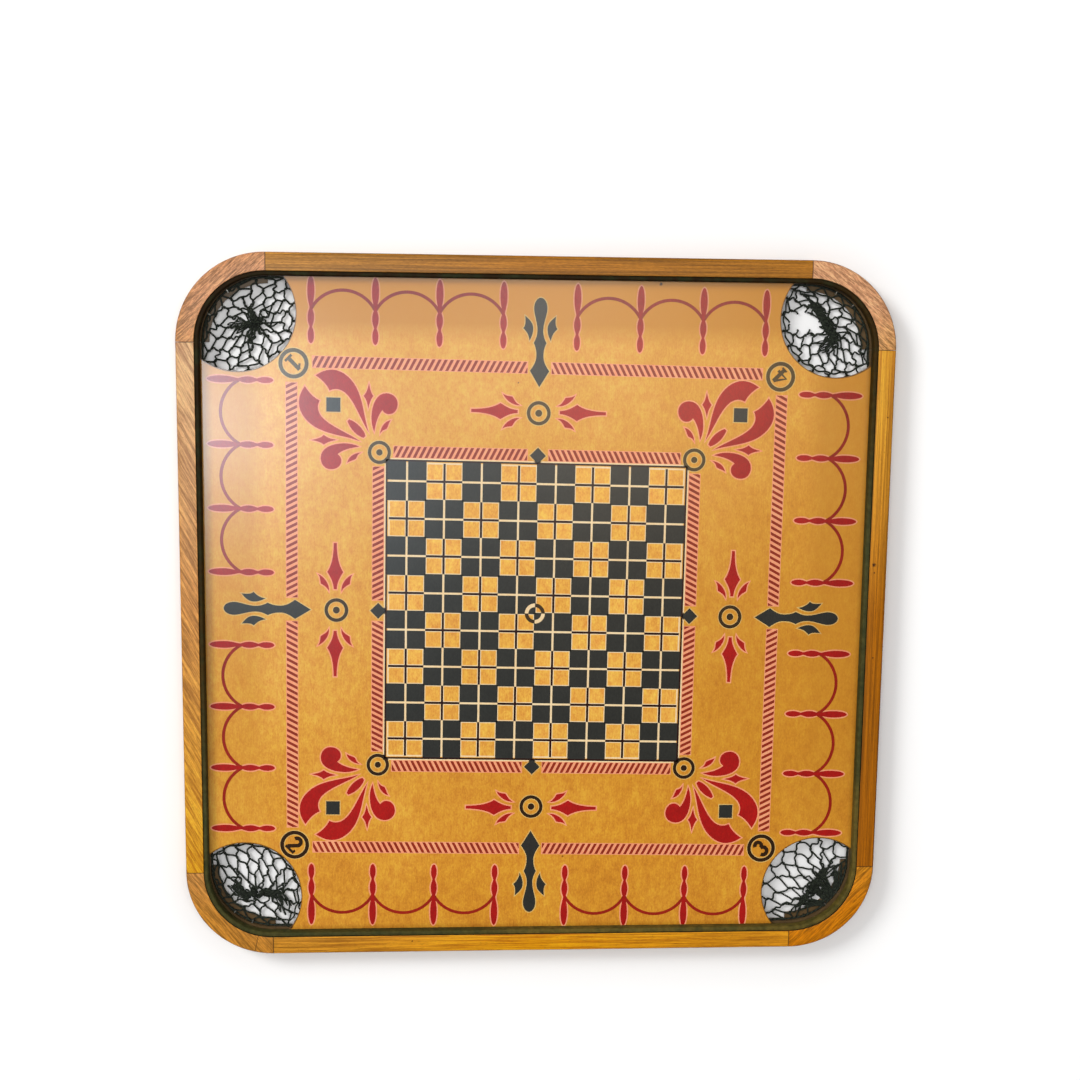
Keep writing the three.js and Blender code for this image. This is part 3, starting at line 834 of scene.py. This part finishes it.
def redOutlines():
    spindle, spear, leaf = (motifOutline(name) for name in ("spindle", "spear", "spearLeaf"))
    starts = [spindles["first"] + index * spindles["step"] for index in range(spindles["count"])]
    shapes = [shift(mirrored(spindle), start, 0) for start in starts]
    spear += [(x, -y) for x, y in reversed(spear)]
    shapes += [shift(outline, 0, spearAxis) for outline in (spear, leaf, [(x, -y) for x, y in leaf])]
    shapes += [motifOutline("fleur" + part) for part in ("Leaf", "Diamond", "Lobe", "Sprig")]
    return sum(map(images, shapes), []) + images(motifOutline("fleurBud"), diagonal=False)


# Thin arcs that join the spindles' waists
def sideArcs():
    shapes, half, ends = [], arcs["line"] / 2, (arcs["from"], 180 - arcs["from"])
    for index in range(spindles["count"] - 1):
        centre = (spindles["first"] + (index + 0.5) * spindles["step"], arcs["rise"])
        shapes += images(arcBand(centre, arcs["radius"] + half, arcs["radius"] - half, *ends, 28))
    return shapes


# Sixty-four squares, each quartered by a cross: dark tiles and light tiles on pale grounds, and brown lines
def fieldSquares():
    dark, pale, tiles, brown = [], [], [], []
    s = squares
    size, gap, line, over, fringe = s["size"], s["gap"] / 2, s["line"] / 2, s["overrun"], s["fringe"]
    for x, y, isDark in [(i * size, j * size, (i + j) % 2) for i in range(-4, 4) for j in range(-4, 4)]:
        middleX, middleY = x + size / 2, y + size / 2
        pale.append(box(x, y, x + size, y + size))
        part, out = (gap, over) if isDark else (line, -over)
        columns = [(x - out, middleX - part), (middleX + part, x + size + out)]
        rows = [(y - out, middleY - part), (middleY + part, y + size + out)]
        cells = [(x0, y0, x1, y1) for x0, x1 in columns for y0, y1 in rows]
        if isDark:
            dark += [box(*cell) for cell in cells]
            continue
        tiles += [box(x0 + fringe, y0 + fringe, x1 - fringe, y1 - fringe) for x0, y0, x1, y1 in cells]
        brown.append(box(middleX - line, y + over, middleX + line, y + size - over))
        brown += [box(x0, middleY - line, x1, middleY + line) for x0, x1 in columns]
    inner, outer = (4 * size + thick for thick in s["border"])
    for low, high, bucket in ((inner, outer, brown), (outer, outer + halo, pale)):
        bucket += [box(-high, low, high, high), box(-high, -high, high, -low)]
        bucket += [box(low, -low, high, low), box(-high, -low, -low, low)]
    return dark, pale, tiles, brown


def centreQuarters(*starts):
    outer, inner = centreRing["outer"], centreRing["inner"]
    return [arcBand((0, 0), outer, inner, start, start + 90, 12) for start in starts]


def ringShapes(grown=0):
    shapes = []
    for kind, b in bullseyes.items():
        ways = [(0, 1), (0, -1), (1, 0), (-1, 0)] if kind == "middle" else corners.values()
        for x, y in ways:
            place = (x * b["place"], y * b["place"])
            for start in (0, 180):
                shapes.append(arcBand(place, b["outer"] + grown, b["ring"] - grown, start, start + 180, 24))
            if b["dot"]:
                shapes.append(arcPoints(place, b["dot"] + grown, 0, 360, 32)[:-1])
    return shapes


def markShapes():
    half, place = diamond["half"], diamond["place"]
    marks = images([(0, place + half), (half, place), (0, place - half), (-half, place)], across=False)
    low, high = (cornerSquare["place"] + way * cornerSquare["half"] for way in (-1, 1))
    marks += images(box(low, low, high, high), diagonal=False)
    return marks + images(mirrored(motifOutline("torch")), across=False) + images(motifOutline("torchLeaf"))


# The outline of a line of even width through the points
def stroke(points, width):
    run = [Vector(point) for point in points]
    left, right = [], []
    for index, here in enumerate(run):
        into = (here - run[index - 1]).normalized() if index else (run[1] - here).normalized()
        out = (run[index + 1] - here).normalized() if index + 1 < len(run) else into
        normal = Vector((-into.y - out.y, into.x + out.x)) / 2
        normal *= width / 2 / max(normal.length_squared, 0.5)
        left.append(tuple(here + normal))
        right.append(tuple(here - normal))
    return left + right[::-1]


# Plain figures 1 to 4 in the corner rings, with their feet towards the corners, as lower and upper strokes
def figureOutlines():
    wide = figureStroke
    figures = {
        "back_left": (
            [stroke([(0, 8.6), (0, -6)], wide)],
            [box(-4.6, -8.7, 4.6, -6.1), stroke([(-4.4, 4.2), (0.4, 8)], 2.2)],
        ),
        "front_left": (
            [stroke(arcPoints((-0.3, 3.9), 4.0, 170, -38, 12) + [(-4.6, -6.4)], wide)],
            [box(-6.3, -8.6, 5.6, -5.9), box(3.4, -5.9, 5.6, -4.2)],
        ),
        "front_right": (
            [stroke(arcPoints((-0.4, 4.3), 3.5, 165, -80, 12), wide)],
            [stroke(arcPoints((-0.6, -3.6), 4.2, 85, -165, 14), wide)],
        ),
        "back_right": (
            [stroke([(2.2, 8.2), (-5.6, -2.6), (6.2, -2.6)], 3)],
            [stroke([(2.2, 8.4), (2.2, -7)], wide), box(-1, -8.7, 5.4, -6.6)],
        ),
    }
    lower, upper = [], []
    for corner, layers in figures.items():
        sx, sy = corners[corner]
        x0, y0 = (way * bullseyes["numeral"]["place"] for way in (sx, sy))
        turn = math.atan2(sx, -sy)
        c, n = math.cos(turn), math.sin(turn)
        for outlines, bucket in zip(layers, (lower, upper)):
            for outline in outlines:
                bucket.append([(x0 + c * x - n * y, y0 + n * x + c * y) for x, y in outline])
    return lower, upper


def inkPiece(name, ink, outlines, layer):
    bm = bmesh.new()
    for outline in outlines:
        bm.faces.new([bm.verts.new((x, y, 0)) for x, y in ringOf(outline)])
    bm.normal_update()
    bmesh.ops.triangulate(bm, faces=bm.faces)
    sink = Matrix.Translation((0, 0, panelTop - inkLayers["sunk"]))
    bmesh.ops.transform(bm, matrix=Matrix.Scale(mm, 4) @ sink @ printFit, verts=bm.verts)
    runStraight(bm, bm.faces[:], (0, 0, inkLayers["sunk"] + inkLayers[layer]))
    addPiece(name, meshFrom(bm, name), inks[ink])


def printField():
    dark, pale, tiles, brown = fieldSquares()
    strokes, ground = (sum(parts, []) for parts in zip(*map(hatchOutlines, hatches)))
    red, marks = redOutlines(), markShapes()
    lowerStrokes, upperStrokes = figureOutlines()
    inkPiece("print_charcoal", "charcoal", dark + marks, "over")
    inkPiece("print_rings", "umber", ringShapes() + lowerStrokes, "over")
    inkPiece("print_ring_dark", "umber", centreQuarters(0, 180) + upperStrokes, "top")
    inkPiece("print_ring_cream", "cream", centreQuarters(90, 270), "top")
    inkPiece("print_brown_lines", "brown", brown, "over")
    inkPiece("print_red", "red", red, "over")
    inkPiece("print_arcs", "brick", sideArcs(), "middle")
    inkPiece("print_hatching", "rust", strokes, "over")
    inkPiece("print_hatch_ground", "pink", ground, "middle")
    inkPiece("print_light_squares", "tile", tiles, "middle")
    inkPiece("print_cream", "cream", pale, "under")
    markEdges = [grow(outline, halo * 0.75) for outline in marks] + ringShapes(halo * 0.6)
    inkPiece("print_mark_edges", "straw", markEdges, "under")
    inkPiece("print_pink", "pink", [grow(outline, halo) for outline in red], "under")


printField()
print("field printed")

# Nets: knotted twine, relaxed by pulling and pushing its knots
netTwine = {
    "cord": 1.8,
    "fanCord": 1.3,  # thinner where the twine is drawn tight
    "crumple": 1.5,  # from one row of knots to the next where it is drawn together
    "knotHalf": 1.5,  # the two yarns run together this far on each side of a knot
    "knotReach": 1.0,
    "knotCord": 1.25,
    "knotPitch": 1.1,
    "spread": 1.3,  # how far the open knots stray at first
    "drawnStray": 1.4,  # and the drawn ones, off the bunch's line
    "drawnHeights": (2, 4.8),
    "fallRun": 20,  # the net falls from the rim to the floor over this run
    "riseRun": 10,  # and rises into the bunch over this one
    "aim": 0.6,  # a knot heads for the bunch where that is nearest to this share of its way to the neck
    "held": 0.12,  # least freedom of a drawn knot
    "relax": 150,  # rounds, with the shares of the pull of bars and the push of knots that each one settles
    "pull": 0.8,
    "push": 0.2,
    "taut": 0.97,  # a bar pulls at this share of its length
    "slack": 2.6,
    "low": 1.7,
    "rimCord": 2.0,
    "rimLow": 6.2,
    "rimHigh": 9.0,
    "dipRun": 14,
    "rimInset": 1.3,
    "overlap": 4,
    "lipRun": (6, 4.5),  # cords rise over the corner block's lip from this far off it, over this run
    "neck": 4.1,
    "sides": 6,
}
tieCoil = {"cord": 1, "turns": 3.2, "pitch": 1.05, "end": [(2, 1, -0.4), (4.5, 1.5, -1.2), (7, 3.2, -1.4)]}
# Cells: meshes round the rim, rows, from one row of knots to the next where the net lies open, cord from
# knot to knot, and least distance between knots
smallCells = {"meshes": 16, "rows": 6, "rowStep": 11.5, "bar": 15.2, "apart": 11.9}
# The rows are drawn together along a line through the neck. Fans are long meshes side by side along a line,
# with their number, and half the width at its start and end. A selvedge shows as a cord inside the cut-out
nets = {
    "back_right": {
        "seed": 4,
        "cells": smallCells,
        "drawn": ((280, 317), (290, 306), (302, 285)),
        "fans": [
            (((278, 319), (289, 307), (303, 284)), 6, 2.4, 6),
            (((302, 287), (296, 278), (284, 272)), 4, 1.2, 9),
        ],
        "torn": ((271.5, 300), (14.5, 9)),
        "stubs": [
            ((261, 300), (265, 296.5), (267, 292.5)),
            ((269, 294), (274, 296), (279, 293), (278, 288), (283, 286)),
        ],
        "selvedge": 4.5,
    },
    "back_left": {
        "seed": 7,
        "cells": smallCells,
        "drawn": ((-286.6, 293), (-286, 294)),
        "fans": [(((-287, 293), (-298, 290), (-312, 284)), 4, 0.8, 9)],
    },
    "front_left": {
        "seed": 11,
        "cells": {"meshes": 15, "rows": 5, "rowStep": 13, "bar": 17, "apart": 13.2},
        "drawn": ((-301, -306), (-291.3, -302.4), (-273, -304)),
        "fans": [
            (((-295, -305), (-307, -304), (-319, -291)), 4, 1.5, 7),
            (((-284, -304), (-269, -307), (-260, -326)), 5, 1.5, 9),
        ],
        "selvedge": 4,
    },
    "front_right": {
        "seed": 15,
        "cells": {"meshes": 13, "rows": 5, "rowStep": 14.2, "bar": 19, "apart": 15},
        "drawn": ((327, -279), (309, -291), (302, -304), (292, -319)),
        "fans": [
            (((321, -318), (318, -303), (306, -286)), 7, 1.5, 7),
            (((320, -320), (309, -309), (296, -300)), 6, 1.5, 6),
            (((319, -322), (305, -321), (287, -322)), 6, 1.2, 5.5),
            (((323, -314), (329, -298), (330, -276)), 5, 2, 5.5),
        ],
    },
}


def unit(vector):
    return vector / np.linalg.norm(vector)


# From nothing to one, with soft ends
def eased(share):
    return share**2 * (3 - 2 * share)


# How far each point lies along the line through them
def runAlong(points):
    return np.concatenate([[0], np.cumsum(np.linalg.norm(np.diff(points, axis=0), axis=1))])


def rayToCircle(start, along, centre, radius):
    offset = start - centre
    middle = -offset.dot(along)
    return middle + math.sqrt(middle**2 - offset.dot(offset) + radius**2)


# How far a ray runs in a corner before it meets the cord's line along the frame's wall
def wallReach(start, along):
    half = wallHalf - netTwine["rimInset"]
    runs = [(half - start[axis]) / along[axis] for axis in (0, 1) if along[axis] > 1e-9]
    if not runs:
        return math.inf
    if min(start + along * min(runs)) < arcCentre:
        return min(runs)
    return rayToCircle(start, along, np.array([arcCentre, arcCentre]), half - arcCentre)


# A point of the rim cord: under the panel round the cut-out, and lower along the wall
def rimPoint(start, angle):
    along = np.array([math.cos(angle), math.sin(angle)])
    pocket = np.array([pocketPlace, pocketPlace])
    toPanel = rayToCircle(start, along, pocket, pocketRadius + netTwine["overlap"])
    toWall = wallReach(start, along)
    share = min(max((toPanel - toWall) / netTwine["dipRun"], 0), 1)
    height = netTwine["rimHigh"] + (netTwine["rimLow"] - netTwine["rimHigh"]) * eased(share)
    return np.array([*(start + along * min(toPanel, toWall)), height])


# Angles that part the rim cord into equal lengths, from points half a degree apart
def evenAngles(neck, number):
    angles = np.linspace(0, fullTurn, 721)
    run = runAlong(np.array([rimPoint(neck, angle) for angle in angles]))
    return np.interp(np.arange(number) / number * run[-1], run, angles)


# Keeps cords above the lip of the corner block
def overLip(points):
    off, rise = netTwine["lipRun"]
    reach = np.linalg.norm(np.clip(points[:, :2] - arcCentre, 0, None), axis=1) + arcCentre
    share = np.clip((reach - (wallHalf - frameSection["lip"] - off)) / rise, 0, 1)
    least = (frameSection["lipTop"] + netTwine["cord"] / 2 + 0.1) * eased(share)
    points[:, 2] = np.maximum(points[:, 2], least)
    return points


# A smooth line through the points
def smoothRoute(points, steps):
    p = np.vstack([2 * points[0] - points[1], points, 2 * points[-1] - points[-2]])
    a, b, c, d = (q[:, None, :] for q in (p[:-3], p[1:-2], p[2:-1], p[3:]))
    t = (np.arange(steps) / steps)[None, :, None]
    line = 0.5 * (2 * b + (c - a) * t + (2 * a - 5 * b + 4 * c - d) * t**2 + (3 * b - a - 3 * c + d) * t**3)
    return np.vstack([line.reshape(-1, points.shape[1]), points[-1:]])


# Round cords, each from points in millimetres, a radius and whether it is closed, with a map of the lay
def cordMesh(name, routes, sides):
    coords, faces, lays, count = [], [], [], 0
    angles = np.arange(sides) / sides * fullTurn
    for points, radius, closed in routes:
        ahead = np.roll(points, -1, 0) - np.roll(points, 1, 0) if closed else np.gradient(points, axis=0)
        tangents = ahead / np.linalg.norm(ahead, axis=1)[:, None]
        normal = np.cross(tangents[0], (0.3, 0.2, 1.0))
        for point, tangent in zip(points, tangents):
            normal = unit(normal - tangent * normal.dot(tangent))
            ring = np.outer(np.cos(angles), normal) + np.outer(np.sin(angles), np.cross(tangent, normal))
            coords.append(point + radius * ring)
        run, number = runAlong(points) * mm, len(points)
        for index in range(number if closed else number - 1):
            here, there = count + index * sides, count + (index + 1) % number * sides
            v0, v1 = run[index], run[index + 1] if index + 1 < number else run[index] + run[1]
            for side in range(sides):
                after = (side + 1) % sides
                faces.append((here + side, here + after, there + after, there + side))
                u0, u1 = side / sides, (side + 1) / sides
                lays += [u0, v0, u1, v0, u1, v1, u0, v1]
        if not closed:
            last = count + (number - 1) * sides
            faces += [tuple(range(count + sides - 1, count - 1, -1)), tuple(range(last, last + sides))]
            lays += [0, 0] * sides * 2
        count += number * sides
    mesh = bpy.data.meshes.new(name)
    mesh.from_pydata((np.vstack(coords) * mm).tolist(), [], faces)
    mesh.uv_layers.new(name="lay").data.foreach_set("uv", np.array(lays, np.float32))
    mesh.shade_smooth()
    return mesh


# A few turns of cord round an axis
def coil(centre, axis, radius, turns, pitch, startAngle, steps):
    axis = unit(axis)
    first = unit(np.cross(axis, (0.1, 0.2, 1.0)))
    second = np.cross(axis, first)
    t = np.linspace(0, turns, int(turns * steps) + 1)[:, None]
    a = startAngle + t * fullTurn
    return centre + radius * (np.cos(a) * first + np.sin(a) * second) + axis * (t - turns / 2) * pitch


# Knots row by row from the rim cord to the bunch, in a corner's own quarter
def relaxedKnots(neck, bunch, rng, t):
    meshes, rows, low = t["meshes"], t["rows"], t["low"]
    angles = evenAngles(neck, meshes * 2)
    knots, freedom = np.zeros((rows + 1, meshes, 3)), np.zeros((rows + 1, meshes))
    strays = rng.normal(0, t["drawnStray"], (meshes * 2, 2))
    heights = rng.uniform(*t["drawnHeights"], meshes * 2)
    for row in range(rows + 1):
        for column in range(meshes):
            spot = column * 2 + row % 2
            rim = rimPoint(neck, angles[spot])
            aim = rim[:2] + (neck - rim[:2]) * t["aim"]
            seat = bunch[np.argmin(np.linalg.norm(bunch - aim, axis=1))] + strays[spot]
            length = np.linalg.norm(seat - rim[:2])
            free, drawn = row * t["rowStep"], length - (rows - row) * t["crumple"]
            run = min(free, drawn)
            knots[row, column, :2] = rim[:2] + (seat - rim[:2]) * run / length
            fall = max(1 - run / t["fallRun"], 0) ** 2
            rise = max(1 - (length - run) / t["riseRun"], 0)
            knots[row, column, 2] = low + (rim[2] - low) * fall + (heights[spot] - low) * rise
            freedom[row, column] = min(max((drawn - free) / 8 + 1, t["held"]), 1)
    knots[1:rows, :, :2] += rng.normal(0, t["spread"], (rows - 1, meshes, 2)) * freedom[1:rows, :, None]
    order = np.arange((rows + 1) * meshes).reshape(rows + 1, meshes)
    pairs = []
    for row in range(rows):
        for after in (order[row + 1], np.roll(order[row + 1], -1 if row % 2 else 1)):
            pairs.append(np.stack([order[row], after], -1))
    a, b = np.vstack(pairs).T
    place, apart = knots.reshape(-1, 3), freedom.reshape(-1) * t["apart"]
    reach = (apart[:, None] + apart[None, :]) / 2
    loose = np.ones(((rows + 1) * meshes, 1))
    loose[:meshes] = loose[-meshes:] = 0
    weight = np.maximum(loose[a] + loose[b], 1)
    for _ in range(t["relax"]):
        gap = place[:, None, :2] - place[None, :, :2]
        distance = np.linalg.norm(gap, axis=2) + np.eye(len(place)) * 1e3
        push = np.clip(reach - distance, 0, None) / distance
        place[:, :2] += t["push"] * loose * (gap * push[:, :, None]).sum(1)
        link = place[b] - place[a]
        length = np.linalg.norm(link, axis=1, keepdims=True)
        pull = link / length * np.clip(length - t["bar"] * t["taut"], 0, None)
        np.add.at(place, a, pull * loose[a] / weight * t["pull"])
        np.add.at(place, b, -pull * loose[b] / weight * t["pull"])
        place[meshes:-meshes, 2] = np.clip(place[meshes:-meshes, 2], low, t["rimHigh"])
    return place.reshape(rows + 1, meshes, 3)


# Both families of twine through the knots, and on along the bunch to the neck
def strandRoutes(knots, neck, rng, t):
    rows, meshes = knots.shape[0] - 1, knots.shape[1]
    routes = []
    for family in (1, -1):
        for column in range(meshes):
            points, place = [], column
            for row in range(rows + 1):
                if row and row % 2 == (0 if family > 0 else 1):
                    place = (place + family) % meshes
                knot = knots[row, place].copy()
                knot[2] += family * (1 if row % 2 else -1) * t["cord"] * 0.3
                reach = t["knotHalf"] if 0 < row < rows else 0
                half = np.array([*(unit(neck - knot[:2]) * reach), 0])
                if points:
                    start = points[-1]
                    link = knot - half - start
                    length = max(np.linalg.norm(link), 0.5)
                    spare = max(t["bar"] * t["taut"] - length - 2 * t["knotHalf"], 0)
                    sag = min(math.sqrt(0.375 * length * spare), t["slack"])  # as a flat arc that long rises
                    sideways = np.cross(link / length, (0, 0, 1))
                    bends = rng.uniform(-1, 1, 2) * sag + rng.normal(0, 0.25, 2)
                    for share, bend in zip((0.33, 0.67), bends):
                        lift = np.array([0, 0, rng.uniform(-0.3, 0.4)])
                        points.append(start + link * share + sideways * bend + lift)
                points += [knot - half, knot + half] if reach else [knot]
            routes.append(np.array(points + neckPoints(points[-1], family, column, neck, rng, t)))
    return routes


# From the last row to the neck: one family turns up into a flared tail, the other goes down through the tie
def neckPoints(end, family, column, neck, rng, t):
    turn = math.atan2(*(end[:2] - neck)[::-1]) + rng.normal(0, 0.25)
    ringShare = math.sqrt(((column * 7) % t["meshes"] + 0.5) / t["meshes"])  # fills the neck evenly
    reach = t["neck"] * ringShare if family > 0 else t["neck"] + 1.6
    spot = neck + reach * np.array([math.cos(turn), math.sin(turn)])
    steps = max(int(np.linalg.norm(end[:2] - spot) / 6), 1)
    points = []
    for step in range(1, steps):
        middle = end[:2] + (spot - end[:2]) * step / steps + rng.normal(0, 0.8, 2)
        points.append(np.array([*middle, rng.uniform(1.8, 5.2)]))
    out = spot - neck
    if family < 0:
        ends = [(*spot, 2.2), (*(spot + out * 0.4), 1.2)]
    else:
        flare, tail = neck + out * 1.35, neck + out * 1.9 + rng.normal(0, 0.6, 2)
        ends = [(*spot, 3.2), (*spot, 5.6), (*flare, 7.6 - 1.6 * ringShare), (*tail, 6.2 - 1.8 * ringShare)]
    return points + [np.array(end) for end in ends]


# Long drawn meshes side by side along a line, with light between them
def fanLoops(line, number, startWidth, endWidth, rng):
    route = smoothRoute(line, 30 // (len(line) - 1))
    widths = np.linspace(startWidth, endWidth, len(route))
    loops = []
    for index in range(number):
        place = (index + 0.5) / number * 2 - 1 + rng.normal(0, 0.06)
        opening = 0.5 / number + rng.uniform(0, 0.2) / number
        start, end = rng.integers(0, 6), len(route) - rng.integers(0, 7)
        part, width = route[start:end:3], widths[start:end:3, None]
        ahead = np.gradient(part, axis=0)
        across = np.stack([-ahead[:, 1], ahead[:, 0]], 1) / np.linalg.norm(ahead, axis=1)[:, None]
        closing = np.sin(np.linspace(0.25, math.pi - 0.25, len(part)))[:, None]
        height, edges = rng.uniform(1.6, 5.6), []
        for sign in (1, -1):
            wave = rng.normal(0, 0.35, (len(part), 1))
            shifted = part + across * ((place + sign * opening * closing) * width + wave)
            heights = height + sign * 0.4 + rng.normal(0, 0.3, len(part))
            edges.append(np.column_stack([shifted, np.clip(heights, 1.3, 6.8)]))
        loops.append(smoothRoute(np.vstack([edges[0], edges[1][::-1], edges[0][:1]]), 3)[:-1])
    return loops


# Which points lie in a torn hole, if there is one, given by its middle and radii
def inHole(points, torn):
    if not torn:
        return np.zeros(len(points), bool)
    return (((points[:, :2] - torn[0]) / torn[1]) ** 2).sum(1) < 1


# Leaves out the bars inside a torn hole and lets short ends hang into it
def tornRoutes(routes, torn, rng):
    kept = []
    for points in routes:
        inside, start = inHole(points, torn), 0
        for index in range(len(points) + 1):
            if index < len(points) and not inside[index]:
                continue
            if index - start > 1:
                part = points[start:index]
                if index < len(points):
                    loose = part[-1] + (part[-1] - part[-2]) * 0.5 + rng.normal(0, 1.0, 3) * (1, 1, 0.2)
                    part = np.vstack([part, loose])
                kept.append(part)
            start = index + 1
    return kept


def netPiece(name, cords, sides, replaced):
    addPiece(name, cordMesh(name, cords, sides), cordYarn, [replaced])


# A net is worked out in the back right quarter and mirrored into its own
def makeNet(corner):
    spec = nets[corner]
    t = {**netTwine, **spec["cells"]}
    signs = np.array(corners[corner])
    rng = np.random.default_rng(spec["seed"])

    def mirroredCord(points, width, closed=False):
        return points * [*signs, 1], width / 2, closed

    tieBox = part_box("net_tie_" + corner)
    neck = np.array(((tieBox[0] + tieBox[1]) / 2)[:2]) / mm * signs
    bunch = np.vstack([smoothRoute(np.array(spec["drawn"]) * signs, 8), neck[None]])
    knots = relaxedKnots(neck, bunch, rng, t)
    routes = strandRoutes(knots, neck, rng, t)
    for stub in spec.get("stubs", []):
        routes.append(np.column_stack([np.array(stub) * signs, rng.uniform(1.6, 3, len(stub))]))
    torn = spec.get("torn")
    if torn:
        torn = (np.array(torn[0]) * signs, torn[1])
        routes = tornRoutes(routes, torn, rng)
    cords = [mirroredCord(overLip(smoothRoute(route, 3)), t["cord"]) for route in routes]
    for line, *settings in spec["fans"]:
        loops = fanLoops(np.array(line) * signs, *settings, rng)
        cords += [mirroredCord(overLip(loop), t["fanCord"], True) for loop in loops]
    inner = overLip(knots[1:-1].reshape(-1, 3))
    for knot in inner[~inHole(inner, torn)]:
        inward = np.array([*(neck - knot[:2]), 0])
        wrap = coil(knot, inward, t["knotReach"], 1.6, t["knotPitch"], rng.uniform(0, fullTurn), 6)
        cords.append(mirroredCord(wrap, t["knotCord"]))
    turns = t["meshes"] * 10
    rim = np.array([rimPoint(neck, angle) for angle in evenAngles(neck, turns)])
    reach = (t["rimCord"] + t["knotCord"]) / 2
    for index in range(0, turns, 10):
        along = rim[(index + 1) % turns] - rim[index - 1]
        cords.append(mirroredCord(coil(rim[index], along, reach, 1.8, t["knotPitch"], 0, 7), t["knotCord"]))
    if "selvedge" in spec:
        toNeck = np.array([*neck, t["low"] + 4]) - rim
        wave = 0.9 * np.sin(np.arange(turns) / 10 * fullTurn)[:, None]
        toNeck *= (t["overlap"] + spec["selvedge"] + wave) / np.linalg.norm(toNeck, axis=1)[:, None]
        cords.append(mirroredCord(overLip(rim + toNeck), t["cord"], True))
    netPiece("netting_" + corner, cords, t["sides"], "net_" + corner)
    netPiece("rim_rope_" + corner, [mirroredCord(rim, t["rimCord"], True)], 12, "rim_cord_" + corner)
    middle = np.array([*neck, (tieBox[0].z + tieBox[1].z) / 2 / mm])
    winding = coil(middle, np.array([0, 0, 1]), t["neck"] + 0.9, tieCoil["turns"], tieCoil["pitch"], 0.4, 24)
    winding = smoothRoute(np.vstack([winding[::2], winding[-1] + tieCoil["end"]]), 3)
    netPiece("tie_" + corner, [mirroredCord(winding, tieCoil["cord"])], 8, "net_tie_" + corner)


for corner in corners:
    makeNet(corner)
    print("net tied", corner)

# Studio: a white floor, soft fill lamps, and tinted lamps that only shine in the varnish
studio = {
    "world": 0.34,
    # Place, size and power in metres and watts, and the tint of a lamp that only shines
    "lamps": [
        ((-0.1, 0.6, 3.0), (2.4, 0.8), 38, None),
        ((-3.2, 2.4, 2.9), (1.5, 1.5), 150, None),
        ((-0.3, 0.25, 3.0), (1.7, 0.9), 33, "#E6F4FF"),
        ((0.5, 0.25, 3.0), (0.9, 0.9), 21, "#FFEBD0"),
        ((-0.85, 0.04, 3.0), (0.3, 0.3), 39, "#E6F4FF"),
    ],
    "floor": "#F4F3F2",
    "floorLift": 0.25,  # added for the camera alone, so that the open floor is white
    "liftRun": (356, 460),  # and it sets in outside the frame
    "floorHalf": 6,
}


def makeStudio():
    world = bpy.data.worlds.new("studio")
    scene.world = world
    world.use_nodes = True
    tree = world.node_tree
    tree.nodes.clear()
    rays = addNode(tree, "LightPath").outputs
    seen = [rays["Is Camera Ray"], rays["Is Transmission Ray"]]
    seen = addNode(tree, "Math", seen, operation="MAXIMUM")
    level = addNode(tree, "MapRange", [seen, 0, 1, studio["world"], 1])
    sky = addNode(tree, "Background", {"Color": "#FFFFFF", "Strength": level})
    addNode(tree, "OutputWorld", {"Surface": sky})
    for place, size, power, shine in studio["lamps"]:
        light = bpy.data.lights.new("softLamp", "AREA")
        light.energy, light.shape = power, "RECTANGLE"
        light.size, light.size_y = size
        lamp = bpy.data.objects.new("softLamp", light)
        if shine:
            light.color = toLinear(shine)[:3]
        lamp.visible_diffuse, lamp.visible_glossy = not shine, bool(shine)
        lamp.location = place
        lamp.rotation_euler = (-Vector(place)).to_track_quat("-Z", "Y").to_euler()
        scene.collection.objects.link(lamp)
    material, tree = newMaterial("paleFloor")
    matt = addNode(tree, "BsdfPrincipled", {"Base Color": studio["floor"], "Roughness": 0.9})
    seen = addNode(tree, "LightPath").outputs["Is Camera Ray"]
    away = addNode(tree, "MapRange", [fromMiddle(tree), *studio["liftRun"], 0, studio["floorLift"]])
    lift = addNode(tree, "Math", [seen, away], operation="MULTIPLY")
    glow = addNode(tree, "Emission", {"Color": "#FFFFFF", "Strength": lift})
    addNode(tree, "OutputMaterial", {"Surface": addNode(tree, "AddShader", [matt, glow])})
    bm = bmesh.new()
    bmesh.ops.create_grid(bm, x_segments=1, y_segments=1, size=studio["floorHalf"])
    mesh = meshFrom(bm, "floor")
    mesh.materials.append(material)
    floor = bpy.data.objects.new("floor", mesh)
    scene.collection.objects.link(floor)
    scene.view_settings.view_transform = "Standard"


makeStudio()
print("studio set")
